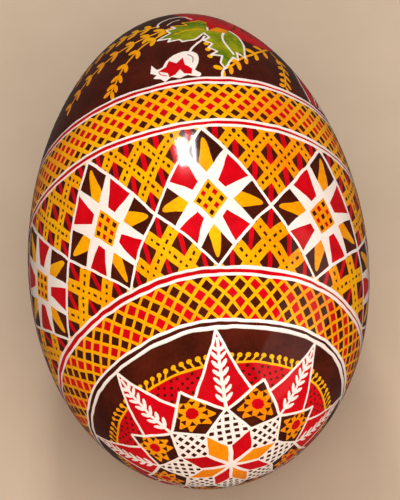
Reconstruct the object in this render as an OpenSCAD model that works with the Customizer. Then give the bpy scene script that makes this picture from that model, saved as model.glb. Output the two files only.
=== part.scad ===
// Decorated goose egg (pysanka), blown. Millimetres.
// The egg lies on its side: axis along Y, broad end to -Y, resting on Z = 0.
// It is built from the inside out: two membranes, the shell wall, and the shell's outer
// skin, divided as it is dyed: zones, drawn shapes, and the undyed lines between them.

/* [Egg] */
// Overall length, pole to pole
egg_length = 89; // [75:0.5:100]
// Largest diameter
egg_width = 57; // [48:0.5:66]
// Radius of the long side arc
side_radius = 62.5; // [52:0.5:90]
// How far the widest place lies from mid-length, towards the broad end
widest_offset = 3; // [0:0.1:6]

/* [Layers] */
// Depth of the dyed skin
skin_t = 0.15; // [0.1:0.01:0.3]
// Shell wall under the dyed skin
shell_t = 0.45; // [0.4:0.01:0.9]
// Each of the two membranes
membrane_t = 0.12; // [0.1:0.01:0.2]

/* [Openings] */
// Radius of the hole the egg was emptied through, at the pointed end
blow_hole_r = 1.5; // [0.8:0.1:3]
// Radius of the air cell at the broad end
air_cell_r = 13; // [8:0.5:18]
// How deep the inner membrane dips under the air cell
air_cell_dip = 2.4; // [1:0.1:4]

/* [Rings] */
// Double line between the flower cap and the upper net, from mid-length
ring_1_at = -14.6; // [-22:0.1:-10]
// Double line between the upper net and the star band
ring_2_at = -5.2; // [-9:0.1:0]
// Double line between the star band and the lower net
ring_3_at = 23.2; // [16:0.1:26]
// Double line between the lower net and the rosette
ring_4_at = 31.3; // [28:0.1:35]
// Width of one white line
line_w = 0.45; // [0.3:0.05:0.8]
// Dyed gap inside a double line
line_gap = 0.5; // [0.3:0.05:0.9]

/* [Star band] */
// Diamonds around the egg
diamond_count = 9; // [6:1:12]
// Where the first diamond is, in degrees around the axis from the top
diamond_turn = 8; // [-20:0.5:20]
// Height of a diamond along the egg, inside its outline
diamond_h = 25.2; // [20:0.1:28]
// Width of a diamond across its side corners, inside its outline
diamond_w = 18.1; // [12:0.1:22]
// Reach of the star's points towards the diamond's sides, as a share
star_reach = 0.95; // [0.7:0.01:0.98]
// Half the size of the netted field in a star's middle, as a share of the diamond's
centre_share = 0.28; // [0.15:0.01:0.32]

/* [Rosette] */
// Kite petals around the broad end
petal_count = 8; // [6:1:12]
// Turn of the first petal, in degrees
petal_turn = 0; // [-25:0.5:25]
// Distance of a petal's outer tip from the axis
petal_tip_r = 20.2; // [16:0.1:21]
// Distance of a petal's wide corners from the axis
petal_wide_r = 14.6; // [11:0.1:16]
// Distance of a petal's inner tip from the axis
petal_base_r = 11.8; // [7:0.1:13]
// Half the angle a petal spans at its wide corners
petal_half_angle = 16; // [10:0.5:21]
// Tip radius of the small flower around the pole
flower_tip_r = 7.8; // [5:0.1:9]
// Distance of the small flower's side corners from the axis
flower_side_r = 4.6; // [3:0.1:6]
// Half the angle a petal of the small flower spans
flower_half_angle = 15; // [10:0.5:20]
// Distance of the small flower's inner tips from the axis
flower_base_r = 1.4; // [1:0.1:3]

/* [Hidden] */
$fn = 96;
half_w = egg_width / 2;
half_l = egg_length / 2;
side_x = half_w - side_radius;
shell_at = skin_t;
outer_membrane_at = shell_at + shell_t;
inner_membrane_at = outer_membrane_at + membrane_t;
inside_at = inner_membrane_at + membrane_t;
rings = [ring_1_at, ring_2_at, ring_3_at, ring_4_at];
ring_half = line_w + line_gap / 2;
band_mid = (ring_2_at + ring_3_at) / 2;
far = 4 * egg_length;

// Radius of an end arc that meets the side arc smoothly, for an end this far from the widest place.
function end_radius(reach) =
    (2 * side_radius * half_w - pow(half_w, 2) - pow(reach, 2)) / (2 * (side_radius - reach));

broad_r = end_radius(half_l - widest_offset);
point_r = end_radius(half_l + widest_offset);
broad_y = half_l - broad_r;
point_y = point_r - half_l;
broad_dir = [-side_x, broad_y - widest_offset] / norm([side_x, broad_y - widest_offset]);
point_dir = [-side_x, point_y - widest_offset] / norm([side_x, point_y - widest_offset]);

// ---- Profile of a layer, as exact arcs: X is the radius, Y runs towards the broad end ----

// One arc of the layer, between depths a and b under the surface.
module arc_strip(centre, r, a, b) {
    translate(centre) difference() {
        circle(r = r - a);
        circle(r = r - b);
    }
}

// The whole half-profile of a layer from depth a to depth b.
module layer_2d(a, b) {
    intersection() {
        arc_strip([0, broad_y], broad_r, a, b);
        polygon([[0, broad_y], [0, far], [far, far], [0, broad_y] + far * broad_dir]);
    }
    intersection() {
        arc_strip([side_x, widest_offset], side_radius, a, b);
        polygon([[0, point_y], [0, broad_y], [0, broad_y] + far * broad_dir,
                 [0, point_y] + far * point_dir]);
    }
    intersection() {
        arc_strip([0, point_y], point_r, a, b);
        polygon([[0, point_y], [0, point_y] + far * point_dir, [far, -far], [0, -far]]);
    }
}

// The part of a layer between two stations along the egg.
module zone_2d(a, b, from, to) {
    intersection() {
        layer_2d(a, b);
        translate([0, from]) square([far, to - from]);
    }
}

// ---- Placing: the axis is laid along Y, broad end to -Y, and lifted to rest on Z = 0 ----

module lay() {
    translate([0, 0, half_w]) rotate([90, 0, 0]) children();
}

// A shape turned about the axis, with the blow hole drilled through at the pointed end.
module drilled() {
    difference() {
        children();
        translate([0, 0, -half_l - 1]) cylinder(r = blow_hole_r, h = 6);
    }
}

// A band of the dyed skin between two stations.
module skin_band(from, to) {
    rotate_extrude() zone_2d(0, shell_at, from, to);
}

// A drawn shape repeated around the band: X across, Y towards the broad end.
module around_band(count, turn, station) {
    for (i = [0 : count - 1])
        rotate([0, 0, 90 + turn + i * 360 / count])
            translate([half_w - 8, 0, station])
                rotate([90, 0, 90]) linear_extrude(height = 10) children();
}

// A drawn shape repeated around the broad pole: X points away from the pole.
module around_pole(count, turn) {
    for (i = [0 : count - 1])
        rotate([0, 0, 90 + turn + i * 360 / count])
            translate([0, 0, half_l - 20]) linear_extrude(height = 22) children();
}

// ---- Drawn shapes ----

// A diamond whose sides are moved outwards by a distance.
module diamond_2d(out = 0) {
    a = diamond_w / 2;
    b = diamond_h / 2;
    k = 1 + out * norm([a, b]) / (a * b);
    polygon([[a * k, 0], [0, b * k], [-a * k, 0], [0, -b * k]]);
}

// A point given in shares along the diamond's two side directions.
function on_diamond(p, q) = [(p - q) * diamond_w / 4, (p + q) * diamond_h / 4];

// The star's points lie a third and two thirds of the way along each side.
module star_2d() {
    polygon([for (turn = [0 : 3])
        for (pq = [[1 / 3, star_reach], [0, 0.4], [-1 / 3, star_reach], [-0.38, 0.38]])
            turn == 0 ? on_diamond(pq[0], pq[1])
            : turn == 1 ? on_diamond(-pq[1], pq[0])
            : turn == 2 ? on_diamond(-pq[0], -pq[1])
            : on_diamond(pq[1], -pq[0])]);
}

// The small netted field in a star's middle.
module centre_2d() {
    c = centre_share;
    polygon([on_diamond(c, c), on_diamond(-c, c), on_diamond(-c, -c), on_diamond(c, -c)]);
}

// A kite on the X axis whose sides are moved outwards by a distance, about its incentre.
module kite_2d(tip, side_r, half_angle, base, out = 0) {
    side = side_r * [cos(half_angle), sin(half_angle)];
    tip_sin = side[1] / norm([tip - side[0], side[1]]);
    base_sin = side[1] / norm([side[0] - base, side[1]]);
    mid = [(tip * tip_sin + base * base_sin) / (tip_sin + base_sin), 0];
    k = 1 + out / ((tip - mid[0]) * tip_sin);
    polygon([for (p = [[tip, 0], side, [base, 0], [side[0], -side[1]]]) mid + k * (p - mid)]);
}

module petal_2d(out = 0) {
    kite_2d(petal_tip_r, petal_wide_r, petal_half_angle, petal_base_r, out);
}

module flower_2d(out = 0) {
    kite_2d(flower_tip_r, flower_side_r, flower_half_angle, flower_base_r, out);
}

// ---- Nodes ----

// Hard calcite wall of the emptied egg.
module eggshell() {
    color("#f3eadb")
        lay() drilled() rotate_extrude() layer_2d(shell_at, outer_membrane_at);
}

// Membrane that lines the wall all over.
module outer_membrane() {
    color("#efe3cf")
        lay() drilled() rotate_extrude() layer_2d(outer_membrane_at, inner_membrane_at);
}

// Membrane inside it, which leaves the wall at the broad end and dishes under the air cell.
module inner_membrane() {
    reach = sqrt(pow(broad_r - inner_membrane_at, 2) - pow(air_cell_r, 2));
    rim = broad_y + reach;
    dish_r = (pow(air_cell_r, 2) + pow(air_cell_dip, 2)) / (2 * air_cell_dip);
    color("#eadcc4")
        lay() drilled() rotate_extrude() {
            zone_2d(inner_membrane_at, inside_at, -half_l - 1, rim);
            intersection() {
                translate([0, rim + dish_r - air_cell_dip]) difference() {
                    circle(r = dish_r);
                    circle(r = dish_r - membrane_t);
                }
                translate([0, rim - air_cell_dip - 1]) square([air_cell_r, air_cell_dip + 1]);
                translate([0, broad_y]) circle(r = broad_r - inner_membrane_at);
            }
        }
}

// Dark ground of the pointed end, which carries the flowers.
module flower_cap_skin() {
    color("#4a1c12")
        lay() drilled() skin_band(-half_l - 1, ring_1_at - ring_half);
}

// Band of fine netting above the stars.
module upper_net_skin() {
    color("#d98a12")
        lay() skin_band(ring_1_at + ring_half, ring_2_at - ring_half);
}

// Ground of the widest band, between the diamonds' outlines.
module star_band_skin() {
    color("#8a2a14")
        lay() difference() {
            skin_band(ring_2_at + ring_half, ring_3_at - ring_half);
            around_band(diamond_count, diamond_turn, band_mid) diamond_2d(line_w);
        }
}

// Red and brown fields of the diamonds, around the stars.
module diamond_fields() {
    color("#d3171b")
        lay() intersection() {
            skin_band(ring_2_at + ring_half, ring_3_at - ring_half);
            around_band(diamond_count, diamond_turn, band_mid) difference() {
                diamond_2d();
                star_2d();
            }
        }
}

// Eight-pointed undyed star in each diamond.
module stars() {
    color("#fbf4e6")
        lay() intersection() {
            skin_band(ring_2_at + ring_half, ring_3_at - ring_half);
            around_band(diamond_count, diamond_turn, band_mid) difference() {
                star_2d();
                centre_2d();
            }
        }
}

// Netted field in the middle of each star.
module star_centres() {
    color("#f0a818")
        lay() intersection() {
            skin_band(ring_2_at + ring_half, ring_3_at - ring_half);
            around_band(diamond_count, diamond_turn, band_mid) centre_2d();
        }
}

// Band of netting below the stars.
module lower_net_skin() {
    color("#d98a12")
        lay() skin_band(ring_3_at + ring_half, ring_4_at - ring_half);
}

// Dark ground of the broad end, around the petals.
module rosette_skin() {
    color("#4a1c12")
        lay() difference() {
            skin_band(ring_4_at + ring_half, half_l + 1);
            around_pole(petal_count, petal_turn) petal_2d(line_w);
            around_pole(petal_count, petal_turn + 180 / petal_count) flower_2d(line_w);
        }
}

// Kite-shaped petals of the rosette.
module rosette_petals() {
    color("#d3171b")
        lay() intersection() {
            skin_band(ring_4_at + ring_half, half_l + 1);
            around_pole(petal_count, petal_turn) petal_2d();
        }
}

// Petals of the small flower around the pole.
module rosette_flower() {
    color("#eda010")
        lay() intersection() {
            skin_band(ring_4_at + ring_half, half_l + 1);
            around_pole(petal_count, petal_turn + 180 / petal_count) flower_2d();
        }
}

// Undyed double lines between the zones.
module ring_lines() {
    color("#fbf4e6")
        lay() for (at = rings) {
            skin_band(at - ring_half, at - line_gap / 2);
            skin_band(at + line_gap / 2, at + ring_half);
        }
}

// Dyed gap inside each double line.
module ring_gaps() {
    color("#b3121a")
        lay() for (at = rings) skin_band(at - line_gap / 2, at + line_gap / 2);
}

// Undyed outlines of the diamonds, the petals and the small flower.
module outlines() {
    color("#fbf4e6")
        lay() {
            intersection() {
                skin_band(ring_2_at + ring_half, ring_3_at - ring_half);
                difference() {
                    around_band(diamond_count, diamond_turn, band_mid) diamond_2d(line_w);
                    around_band(diamond_count, diamond_turn, band_mid) diamond_2d();
                }
            }
            intersection() {
                skin_band(ring_4_at + ring_half, half_l + 1);
                difference() {
                    union() {
                        around_pole(petal_count, petal_turn) petal_2d(line_w);
                        around_pole(petal_count, petal_turn + 180 / petal_count) flower_2d(line_w);
                    }
                    around_pole(petal_count, petal_turn) petal_2d();
                    around_pole(petal_count, petal_turn + 180 / petal_count) flower_2d();
                }
            }
        }
}

eggshell();
outer_membrane();
inner_membrane();
flower_cap_skin();
upper_net_skin();
star_band_skin();
diamond_fields();
stars();
star_centres();
lower_net_skin();
rosette_skin();
rosette_petals();
rosette_flower();
ring_lines();
ring_gaps();
outlines();
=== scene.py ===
"""A wax-resist decorated goose egg, lying on its side: shell, membranes and the dyed drawing.

The drawing is worked out zone by zone on flat sheets. Each sheet is cut into flush pieces, one
for each dye, and a Geometry Nodes tree repeats them round the egg and lays them on its skin.
"""

import logging
from dataclasses import dataclass, field
from enum import Enum
from math import atan2, cos, degrees, hypot, pi, radians, sin, tau
from typing import Iterable, Sequence

import bpy
import numpy as np
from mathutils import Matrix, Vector
from mathutils.geometry import delaunay_2d_cdt


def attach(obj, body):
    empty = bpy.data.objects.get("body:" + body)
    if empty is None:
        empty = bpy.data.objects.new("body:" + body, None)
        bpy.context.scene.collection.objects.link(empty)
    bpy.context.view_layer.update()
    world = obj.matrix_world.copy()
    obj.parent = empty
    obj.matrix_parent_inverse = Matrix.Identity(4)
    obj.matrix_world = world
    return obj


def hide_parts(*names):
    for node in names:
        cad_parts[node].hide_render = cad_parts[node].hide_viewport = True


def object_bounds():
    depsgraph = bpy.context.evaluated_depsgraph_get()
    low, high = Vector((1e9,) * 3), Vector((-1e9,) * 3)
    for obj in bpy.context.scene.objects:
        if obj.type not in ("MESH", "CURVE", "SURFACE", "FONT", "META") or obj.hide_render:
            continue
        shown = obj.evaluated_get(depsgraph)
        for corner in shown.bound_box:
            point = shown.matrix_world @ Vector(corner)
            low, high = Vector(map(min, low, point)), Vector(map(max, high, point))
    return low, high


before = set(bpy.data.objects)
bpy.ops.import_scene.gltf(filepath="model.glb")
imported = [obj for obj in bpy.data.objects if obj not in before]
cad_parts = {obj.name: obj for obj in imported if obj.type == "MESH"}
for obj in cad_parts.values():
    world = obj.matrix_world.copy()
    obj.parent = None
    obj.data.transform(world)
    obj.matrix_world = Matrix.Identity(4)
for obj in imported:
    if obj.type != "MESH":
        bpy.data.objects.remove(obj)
CAD_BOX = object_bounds()

MM = 0.001
ROOT = "root"
INSIDE_ONLY = 1  # the cutter keeps only what lies inside an outline
SAME_POINT = 1e-5  # points this close on a sheet, in millimetres, are one
LEAST_AREA = 1e-7  # a flat triangle smaller than this is left out
Point = tuple[float, float]
Span = tuple[float, float]
Colour = tuple[float, float, float]
log = logging.getLogger("decorated_egg")


def linear(red: int, green: int, blue: int) -> Colour:
    """Turn a colour chosen on a screen into linear light.

    Args:
        red: how much red, from 0 to 255.
        green: how much green.
        blue: how much blue.

    Returns:
        The three shares of linear light, from 0 to 1.
    """
    def one(value: int) -> float:
        """One of the three shares."""
        share = value / 255
        return share / 12.92 if share <= 0.04045 else ((share + 0.055) / 1.055) ** 2.4
    return one(red), one(green), one(blue)


def linked(name: str, data: bpy.types.ID) -> bpy.types.Object:
    """Make an object.

    Args:
        name: its name.
        data: its mesh, light or camera.

    Returns:
        The object, linked to the scene.
    """
    made = bpy.data.objects.new(name, data)
    bpy.context.scene.collection.objects.link(made)
    return made


# ---- node expressions


class Wire:
    """A node's output that can be written in sums: each operator adds a Math node."""

    def __init__(self, bench: "NodeBench", socket: bpy.types.NodeSocket) -> None:
        """Keep the socket and the bench whose tree it is in."""
        self.bench = bench
        self.socket = socket

    def _math(self, operation: str, *values: "Wire | float") -> "Wire":
        """Add a Math node of that operation on these values."""
        return self.bench.add("ShaderNodeMath", {"operation": operation}, dict(enumerate(values)))[0]

    def __add__(self, other: "Wire | float") -> "Wire":
        """Sum of two values."""
        return self._math("ADD", self, other)

    def __radd__(self, other: float) -> "Wire":
        """Sum with a plain number on the left."""
        return self._math("ADD", other, self)

    def __sub__(self, other: "Wire | float") -> "Wire":
        """Difference of two values."""
        return self._math("SUBTRACT", self, other)

    def __rsub__(self, other: float) -> "Wire":
        """A plain number less this value."""
        return self._math("SUBTRACT", other, self)

    def __mul__(self, other: "Wire | float") -> "Wire":
        """Product of two values."""
        return self._math("MULTIPLY", self, other)

    def __rmul__(self, other: float) -> "Wire":
        """Product with a plain number on the left."""
        return self._math("MULTIPLY", other, self)

    def __truediv__(self, other: "Wire | float") -> "Wire":
        """Quotient of two values."""
        return self._math("DIVIDE", self, other)

    def cosine(self) -> "Wire":
        """Cosine of an angle in radians."""
        return self._math("COSINE", self)

    def sine(self) -> "Wire":
        """Sine of an angle in radians."""
        return self._math("SINE", self)

    def angle_to(self, across: "Wire") -> "Wire":
        """Angle of the direction (across, self), from -pi to pi."""
        return self._math("ARCTAN2", self, across)

    def root(self) -> "Wire":
        """Square root."""
        return self._math("SQRT", self)

    def inverse_root(self) -> "Wire":
        """One divided by the square root."""
        return self._math("INVERSE_SQRT", self)


class NodeBench:
    """Adds nodes to one tree, for a material or for Geometry Nodes."""

    def __init__(self, tree: bpy.types.NodeTree) -> None:
        """Keep the tree."""
        self.tree = tree

    def add(self, kind: str, settings: dict | None = None, sockets: dict | None = None) -> list[Wire]:
        """Add one node.

        Args:
            kind: the node's type.
            settings: its own settings, set first.
            sockets: values or wires, by input name or place.

        Returns:
            The node's outputs in order, as wires.
        """
        node = self.tree.nodes.new(kind)
        for name, value in (settings or {}).items():
            setattr(node, name, value)
        for name, value in (sockets or {}).items():
            if isinstance(value, Wire):
                self.tree.links.new(value.socket, node.inputs[name])
            else:
                node.inputs[name].default_value = value
        return [Wire(self, socket) for socket in node.outputs]

    def mix(self, share: Wire, first: "Wire | Colour", second: "Wire | Colour") -> Wire:
        """Blend two colours.

        Args:
            share: how much of the second colour, from 0 to 1.
            first: a colour or a wire.
            second: the other one.

        Returns:
            The blended colour.
        """
        def colour(value: "Wire | Colour") -> "Wire | tuple":
            """A wire as it is, or a colour with its alpha."""
            return value if isinstance(value, Wire) else (*value, 1.0)
        sockets = {0: share, 6: colour(first), 7: colour(second)}
        return self.add("ShaderNodeMix", {"data_type": "RGBA"}, sockets)[2]

    def vector(self, x: "Wire | float", y: "Wire | float", z: "Wire | float") -> Wire:
        """Join three values into a vector."""
        return self.add("ShaderNodeCombineXYZ", None, {0: x, 1: y, 2: z})[0]

    def parts(self, vector: Wire) -> list[Wire]:
        """Split a vector into its three values."""
        return self.add("ShaderNodeSeparateXYZ", None, {0: vector})

    def vector_sum(self, first: Wire, second: "Wire | tuple") -> Wire:
        """Sum of two vectors."""
        return self.add("ShaderNodeVectorMath", {"operation": "ADD"}, {0: first, 1: second})[0]

    def stretched(self, vector: Wire, by: "Wire | float") -> Wire:
        """A vector times one number."""
        return self.add("ShaderNodeVectorMath", {"operation": "SCALE"}, {0: vector, "Scale": by})[0]


# ---- finishes


def blank_material(name: str) -> tuple[bpy.types.Material, NodeBench, Wire]:
    """Start a material.

    Args:
        name: its name.

    Returns:
        The empty material, the bench for its nodes, and its Object coordinates.
    """
    made = bpy.data.materials.new(name)
    made.use_nodes = True
    made.node_tree.nodes.clear()
    bench = NodeBench(made.node_tree)
    return made, bench, bench.add("ShaderNodeTexCoord")[3]


def noise(bench: NodeBench, place: Wire, scale: float, detail: float, roughness: float) -> Wire:
    """Noise around 0.5, with that many grains to the metre and that many finer layers."""
    return bench.add("ShaderNodeTexNoise", None, {
        "Vector": place, "Scale": scale, "Detail": detail, "Roughness": roughness})[0]


class Dye(Enum):
    """The colours a drawing is made of: the dye baths in order, and the undyed shell."""

    WHITE = "white"
    YELLOW = "yellow"
    ORANGE = "orange"
    GREEN = "green"
    RED = "red"
    BROWN = "brown"


@dataclass(frozen=True)
class VarnishedDye:
    """Dyed shell under clear varnish, mottled where the dye took unevenly.

    Attributes:
        name: the material's name.
        slot: a slot name for the finish; not used.
        thin: colour where the dye is thin.
        full: colour where it took fully.
        cloud: how many clouds of its mottling go to the metre.
        grain: how many specks do.
        speck_share: how much of the mottling is specks.
        contrast: levels of the mottling where the dye is thin and where it is full.
        pore: how many of the shell's pores go to the metre.
        swell: how many of its swells do.
        swell_height: how high these are.
        pits: depth of the relief, in metres.
        gloss_roughness: roughness of the dyed skin.
        dulling: how much rougher the specks are.
        density: refractive index of the skin.
        varnish: weight of the varnish.
        varnish_roughness: its roughness.
        varnish_density: its refractive index.
    """

    name: str
    slot: str
    thin: Colour
    full: Colour
    cloud: float = 150.0
    grain: float = 1500.0
    speck_share: float = 0.3
    contrast: Span = (0.36, 0.64)
    pore: float = 620.0
    swell: float = 130.0
    swell_height: float = 2.2
    pits: float = 0.00003
    gloss_roughness: float = 0.07
    dulling: float = 0.06
    density: float = 1.43
    varnish: float = 0.12
    varnish_roughness: float = 0.04
    varnish_density: float = 1.45

    def material(self) -> bpy.types.Material:
        """Build the finish.

        Returns:
            The material, which reads Object coordinates.
        """
        made, bench, place = blank_material(self.name)
        clouds = noise(bench, place, self.cloud, 3.0, 0.6)
        specks = noise(bench, place, self.grain, 2.0, 0.7)
        mottle = clouds * (1 - self.speck_share) + specks * self.speck_share
        share = bench.add("ShaderNodeMapRange", {"clamp": True}, {
            "Value": mottle, "From Min": self.contrast[0], "From Max": self.contrast[1]})[0]
        colour = bench.mix(share, self.thin, self.full)
        pores = noise(bench, place, self.pore, 3.0, 0.55)
        swell = noise(bench, place, self.swell, 1.0, 0.5)
        bump = bench.add("ShaderNodeBump", None, {
            "Strength": 1.0, "Distance": self.pits,
            "Height": pores * 0.5 + swell * self.swell_height})[0]
        surface = bench.add("ShaderNodeBsdfPrincipled", None, {
            "Base Color": colour, "Roughness": self.gloss_roughness + specks * self.dulling,
            "IOR": self.density, "Coat Weight": self.varnish,
            "Coat Roughness": self.varnish_roughness, "Coat IOR": self.varnish_density,
            "Normal": bump})[0]
        bench.add("ShaderNodeOutputMaterial", None, {"Surface": surface})
        return made


@dataclass(frozen=True)
class MatteShell:
    """Bare shell or dried membrane: pale, chalky and faintly pored.

    Attributes:
        name: the material's name.
        slot: a slot name for the finish; not used.
        light: colour of the raised grain.
        dark: colour of the pores.
        pore_scale: how many pores go to the metre.
        pore_depth: their depth, in metres.
        roughness: roughness of the surface.
    """

    name: str
    slot: str
    light: Colour
    dark: Colour
    pore_scale: float = 900.0
    pore_depth: float = 0.00004
    roughness: float = 0.75

    def material(self) -> bpy.types.Material:
        """Build the finish.

        Returns:
            The material, which reads Object coordinates.
        """
        made, bench, place = blank_material(self.name)
        pores = noise(bench, place, self.pore_scale, 4.0, 0.6)
        colour = bench.mix(pores, self.light, self.dark)
        bump = bench.add("ShaderNodeBump", None, {
            "Strength": 0.6, "Distance": self.pore_depth, "Height": pores})[0]
        surface = bench.add("ShaderNodeBsdfPrincipled", None, {
            "Base Color": colour, "Roughness": self.roughness + pores * 0.15, "Normal": bump})[0]
        bench.add("ShaderNodeOutputMaterial", None, {"Surface": surface})
        return made


DYES: dict[Dye, VarnishedDye] = {
    Dye.WHITE: VarnishedDye("undyed shell", "undyed_skin", linear(253, 241, 234),
                            linear(246, 228, 216)),
    Dye.YELLOW: VarnishedDye("yellow dye", "yellow_dye", linear(255, 188, 0),
                             linear(240, 128, 0), cloud=48.0),
    Dye.ORANGE: VarnishedDye("orange dye", "orange_dye", linear(250, 160, 2),
                             linear(234, 116, 2), cloud=70.0),
    Dye.GREEN: VarnishedDye("green dye", "green_dye", linear(168, 164, 8),
                            linear(46, 102, 4), cloud=170.0),
    Dye.RED: VarnishedDye("red dye", "red_dye", linear(222, 2, 22), linear(180, 2, 12)),
    Dye.BROWN: VarnishedDye("brown dye", "brown_dye", linear(84, 26, 12), linear(52, 14, 4)),
}
BARE_SHELL = MatteShell("bare shell", "bare_shell", linear(244, 238, 226), linear(226, 214, 194))
MEMBRANE = MatteShell("dried membrane", "membrane", linear(240, 232, 212), linear(214, 200, 172))
TABLE_CLOTH = MatteShell("table cloth", "", linear(196, 175, 153), linear(181, 161, 138),
                         pore_scale=60.0, roughness=0.8)


# ---- the egg's form


@dataclass(frozen=True)
class EggForm:
    """The egg's smooth outer surface, broad end towards -Y, in millimetres.

    A place is an angle from the broad pole (0) to the pointed pole (pi) and a longitude,
    which is 0 on the +X side and 90 degrees on top.

    Attributes:
        half_length: half of the egg's length.
        half_width: its greatest radius.
        fullness: how much fuller the broad end is.
        pinch: how much narrower both ends are.
        girth_share: radius half-way along, next to the greatest one.
        steps: how finely a curve from pole to pole is worked out.
    """

    half_length: float
    half_width: float
    fullness: float = 0.1024
    pinch: float = -0.0025
    girth_share: float = 0.99475
    steps: int = 4000

    @property
    def girth(self) -> float:
        """Radius half-way along the egg."""
        return self.half_width * self.girth_share

    def radius(self, angle: np.ndarray | float) -> np.ndarray | float:
        """Distance from the axis at that angle."""
        c = np.cos(angle)
        return self.girth * np.sin(angle) * (1 + self.fullness * c + self.pinch * c * c)

    def along(self, angle: np.ndarray | float) -> np.ndarray | float:
        """Place along Y at that angle."""
        return -self.half_length * np.cos(angle)

    def arcs(self) -> tuple[np.ndarray, np.ndarray]:
        """Measure the surface from pole to pole.

        Returns:
            Angles, and how far each is from the broad pole over the surface.
        """
        angles = np.linspace(0, pi, self.steps)
        run = np.hypot(np.diff(self.along(angles)), np.diff(self.radius(angles)))
        return angles, np.concatenate([[0.0], np.cumsum(run)])

    def angle_from_broad(self, arc: np.ndarray) -> np.ndarray:
        """Angle of a place that far over the surface from the broad pole."""
        angles, lengths = self.arcs()
        return np.interp(arc, lengths, angles)

    def angle_from_pointed(self, arc: np.ndarray) -> np.ndarray:
        """Angle of a place that far over the surface from the pointed pole."""
        angles, lengths = self.arcs()
        return np.interp(lengths[-1] - np.asarray(arc), lengths, angles)

    def normals(self, points: np.ndarray) -> np.ndarray:
        """Outward directions of the surface.

        Args:
            points: points on or near it, from the egg's middle.

        Returns:
            One unit vector for each point.
        """
        c = np.clip(-points[:, 1] / self.half_length, -1, 1)
        g = 1 + self.fullness * c + self.pinch * c * c
        slope = self.fullness + 2 * self.pinch * c
        round_part = (points[:, 0] ** 2 + points[:, 2] ** 2) / self.girth ** 2
        x = 2 * points[:, 0] / (self.girth * g) ** 2
        z = 2 * points[:, 2] / (self.girth * g) ** 2
        y = -(2 * c - 2 * round_part * slope / g ** 3) / self.half_length
        out = np.stack([x, y, z], axis=1)
        return out / np.linalg.norm(out, axis=1, keepdims=True)

    def meridian(self, depth: float, hole: float, count: int) -> list[Point]:
        """(y, radius) points of the surface that far below the skin, broad pole first.

        Args:
            depth: how far below the skin.
            hole: radius of the hole at the pointed pole, where the points end.
            count: how many points.

        Returns:
            The points, from the broad pole to the hole's edge.
        """
        angles = np.linspace(0, pi, self.steps)
        y, r = self.along(angles), self.radius(angles)
        dy, dr = np.gradient(y), np.gradient(r)
        size = np.hypot(dy, dr)
        y, r = y + depth * dr / size, r - depth * dy / size
        last = len(r) - 1 - int(np.argmax(r[::-1] >= hole))
        run = np.concatenate([[0.0], np.cumsum(np.hypot(np.diff(y[:last]), np.diff(r[:last])))])
        at = np.linspace(0, run[-1], count)
        rows = list(zip(np.interp(at, run, y[:last]), np.interp(at, run, r[:last])))
        return [(float(rows[0][0]), 0.0)] + [(float(a), float(b)) for a, b in rows[1:-1]] + [
            (float(rows[-1][0]), hole)]


# ---- flat drawings


def turned(point: Point, angle: float) -> Point:
    """A point turned about the origin by an angle in degrees."""
    c, s = cos(radians(angle)), sin(radians(angle))
    return point[0] * c - point[1] * s, point[0] * s + point[1] * c


def polar(reach: float, angle: float) -> Point:
    """The point that far from the origin, at an angle in degrees."""
    return reach * cos(radians(angle)), reach * sin(radians(angle))


def between(first: Point, second: Point, share: float) -> Point:
    """The point that share of the way from the first to the second."""
    return first[0] + (second[0] - first[0]) * share, first[1] + (second[1] - first[1]) * share


def anticlockwise(outline: Sequence[Point]) -> list[Point]:
    """The same outline, turned round if it runs clockwise."""
    twice_area = sum(a[0] * b[1] - b[0] * a[1] for a, b in zip(outline, [*outline[1:], outline[0]]))
    return list(outline) if twice_area > 0 else list(outline)[::-1]


def smooth_run(points: Sequence[Point], steps: int = 5) -> list[Point]:
    """Draw a curve through a few points.

    Args:
        points: the points, from one end to the other.
        steps: how many steps lie between each pair.

    Returns:
        The points of the curve.
    """
    padded = [points[0], *points, points[-1]]
    out: list[Point] = []
    for a, b, c, d in zip(padded, padded[1:], padded[2:], padded[3:]):
        for step in range(steps):
            t = step / steps
            out.append(tuple(
                0.5 * (2 * b[k] + (c[k] - a[k]) * t + (2 * a[k] - 5 * b[k] + 4 * c[k] - d[k]) * t * t
                       + (3 * b[k] - a[k] - 3 * c[k] + d[k]) * t ** 3) for k in (0, 1)))
    return out + [tuple(points[-1])]


@dataclass
class Shape:
    """One painted area.

    Attributes:
        outline: its outline, anticlockwise.
        dye: its dye.
        within: number of the shape that it stays inside.
    """

    outline: list[Point]
    dye: Dye
    within: int = 0


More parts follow.
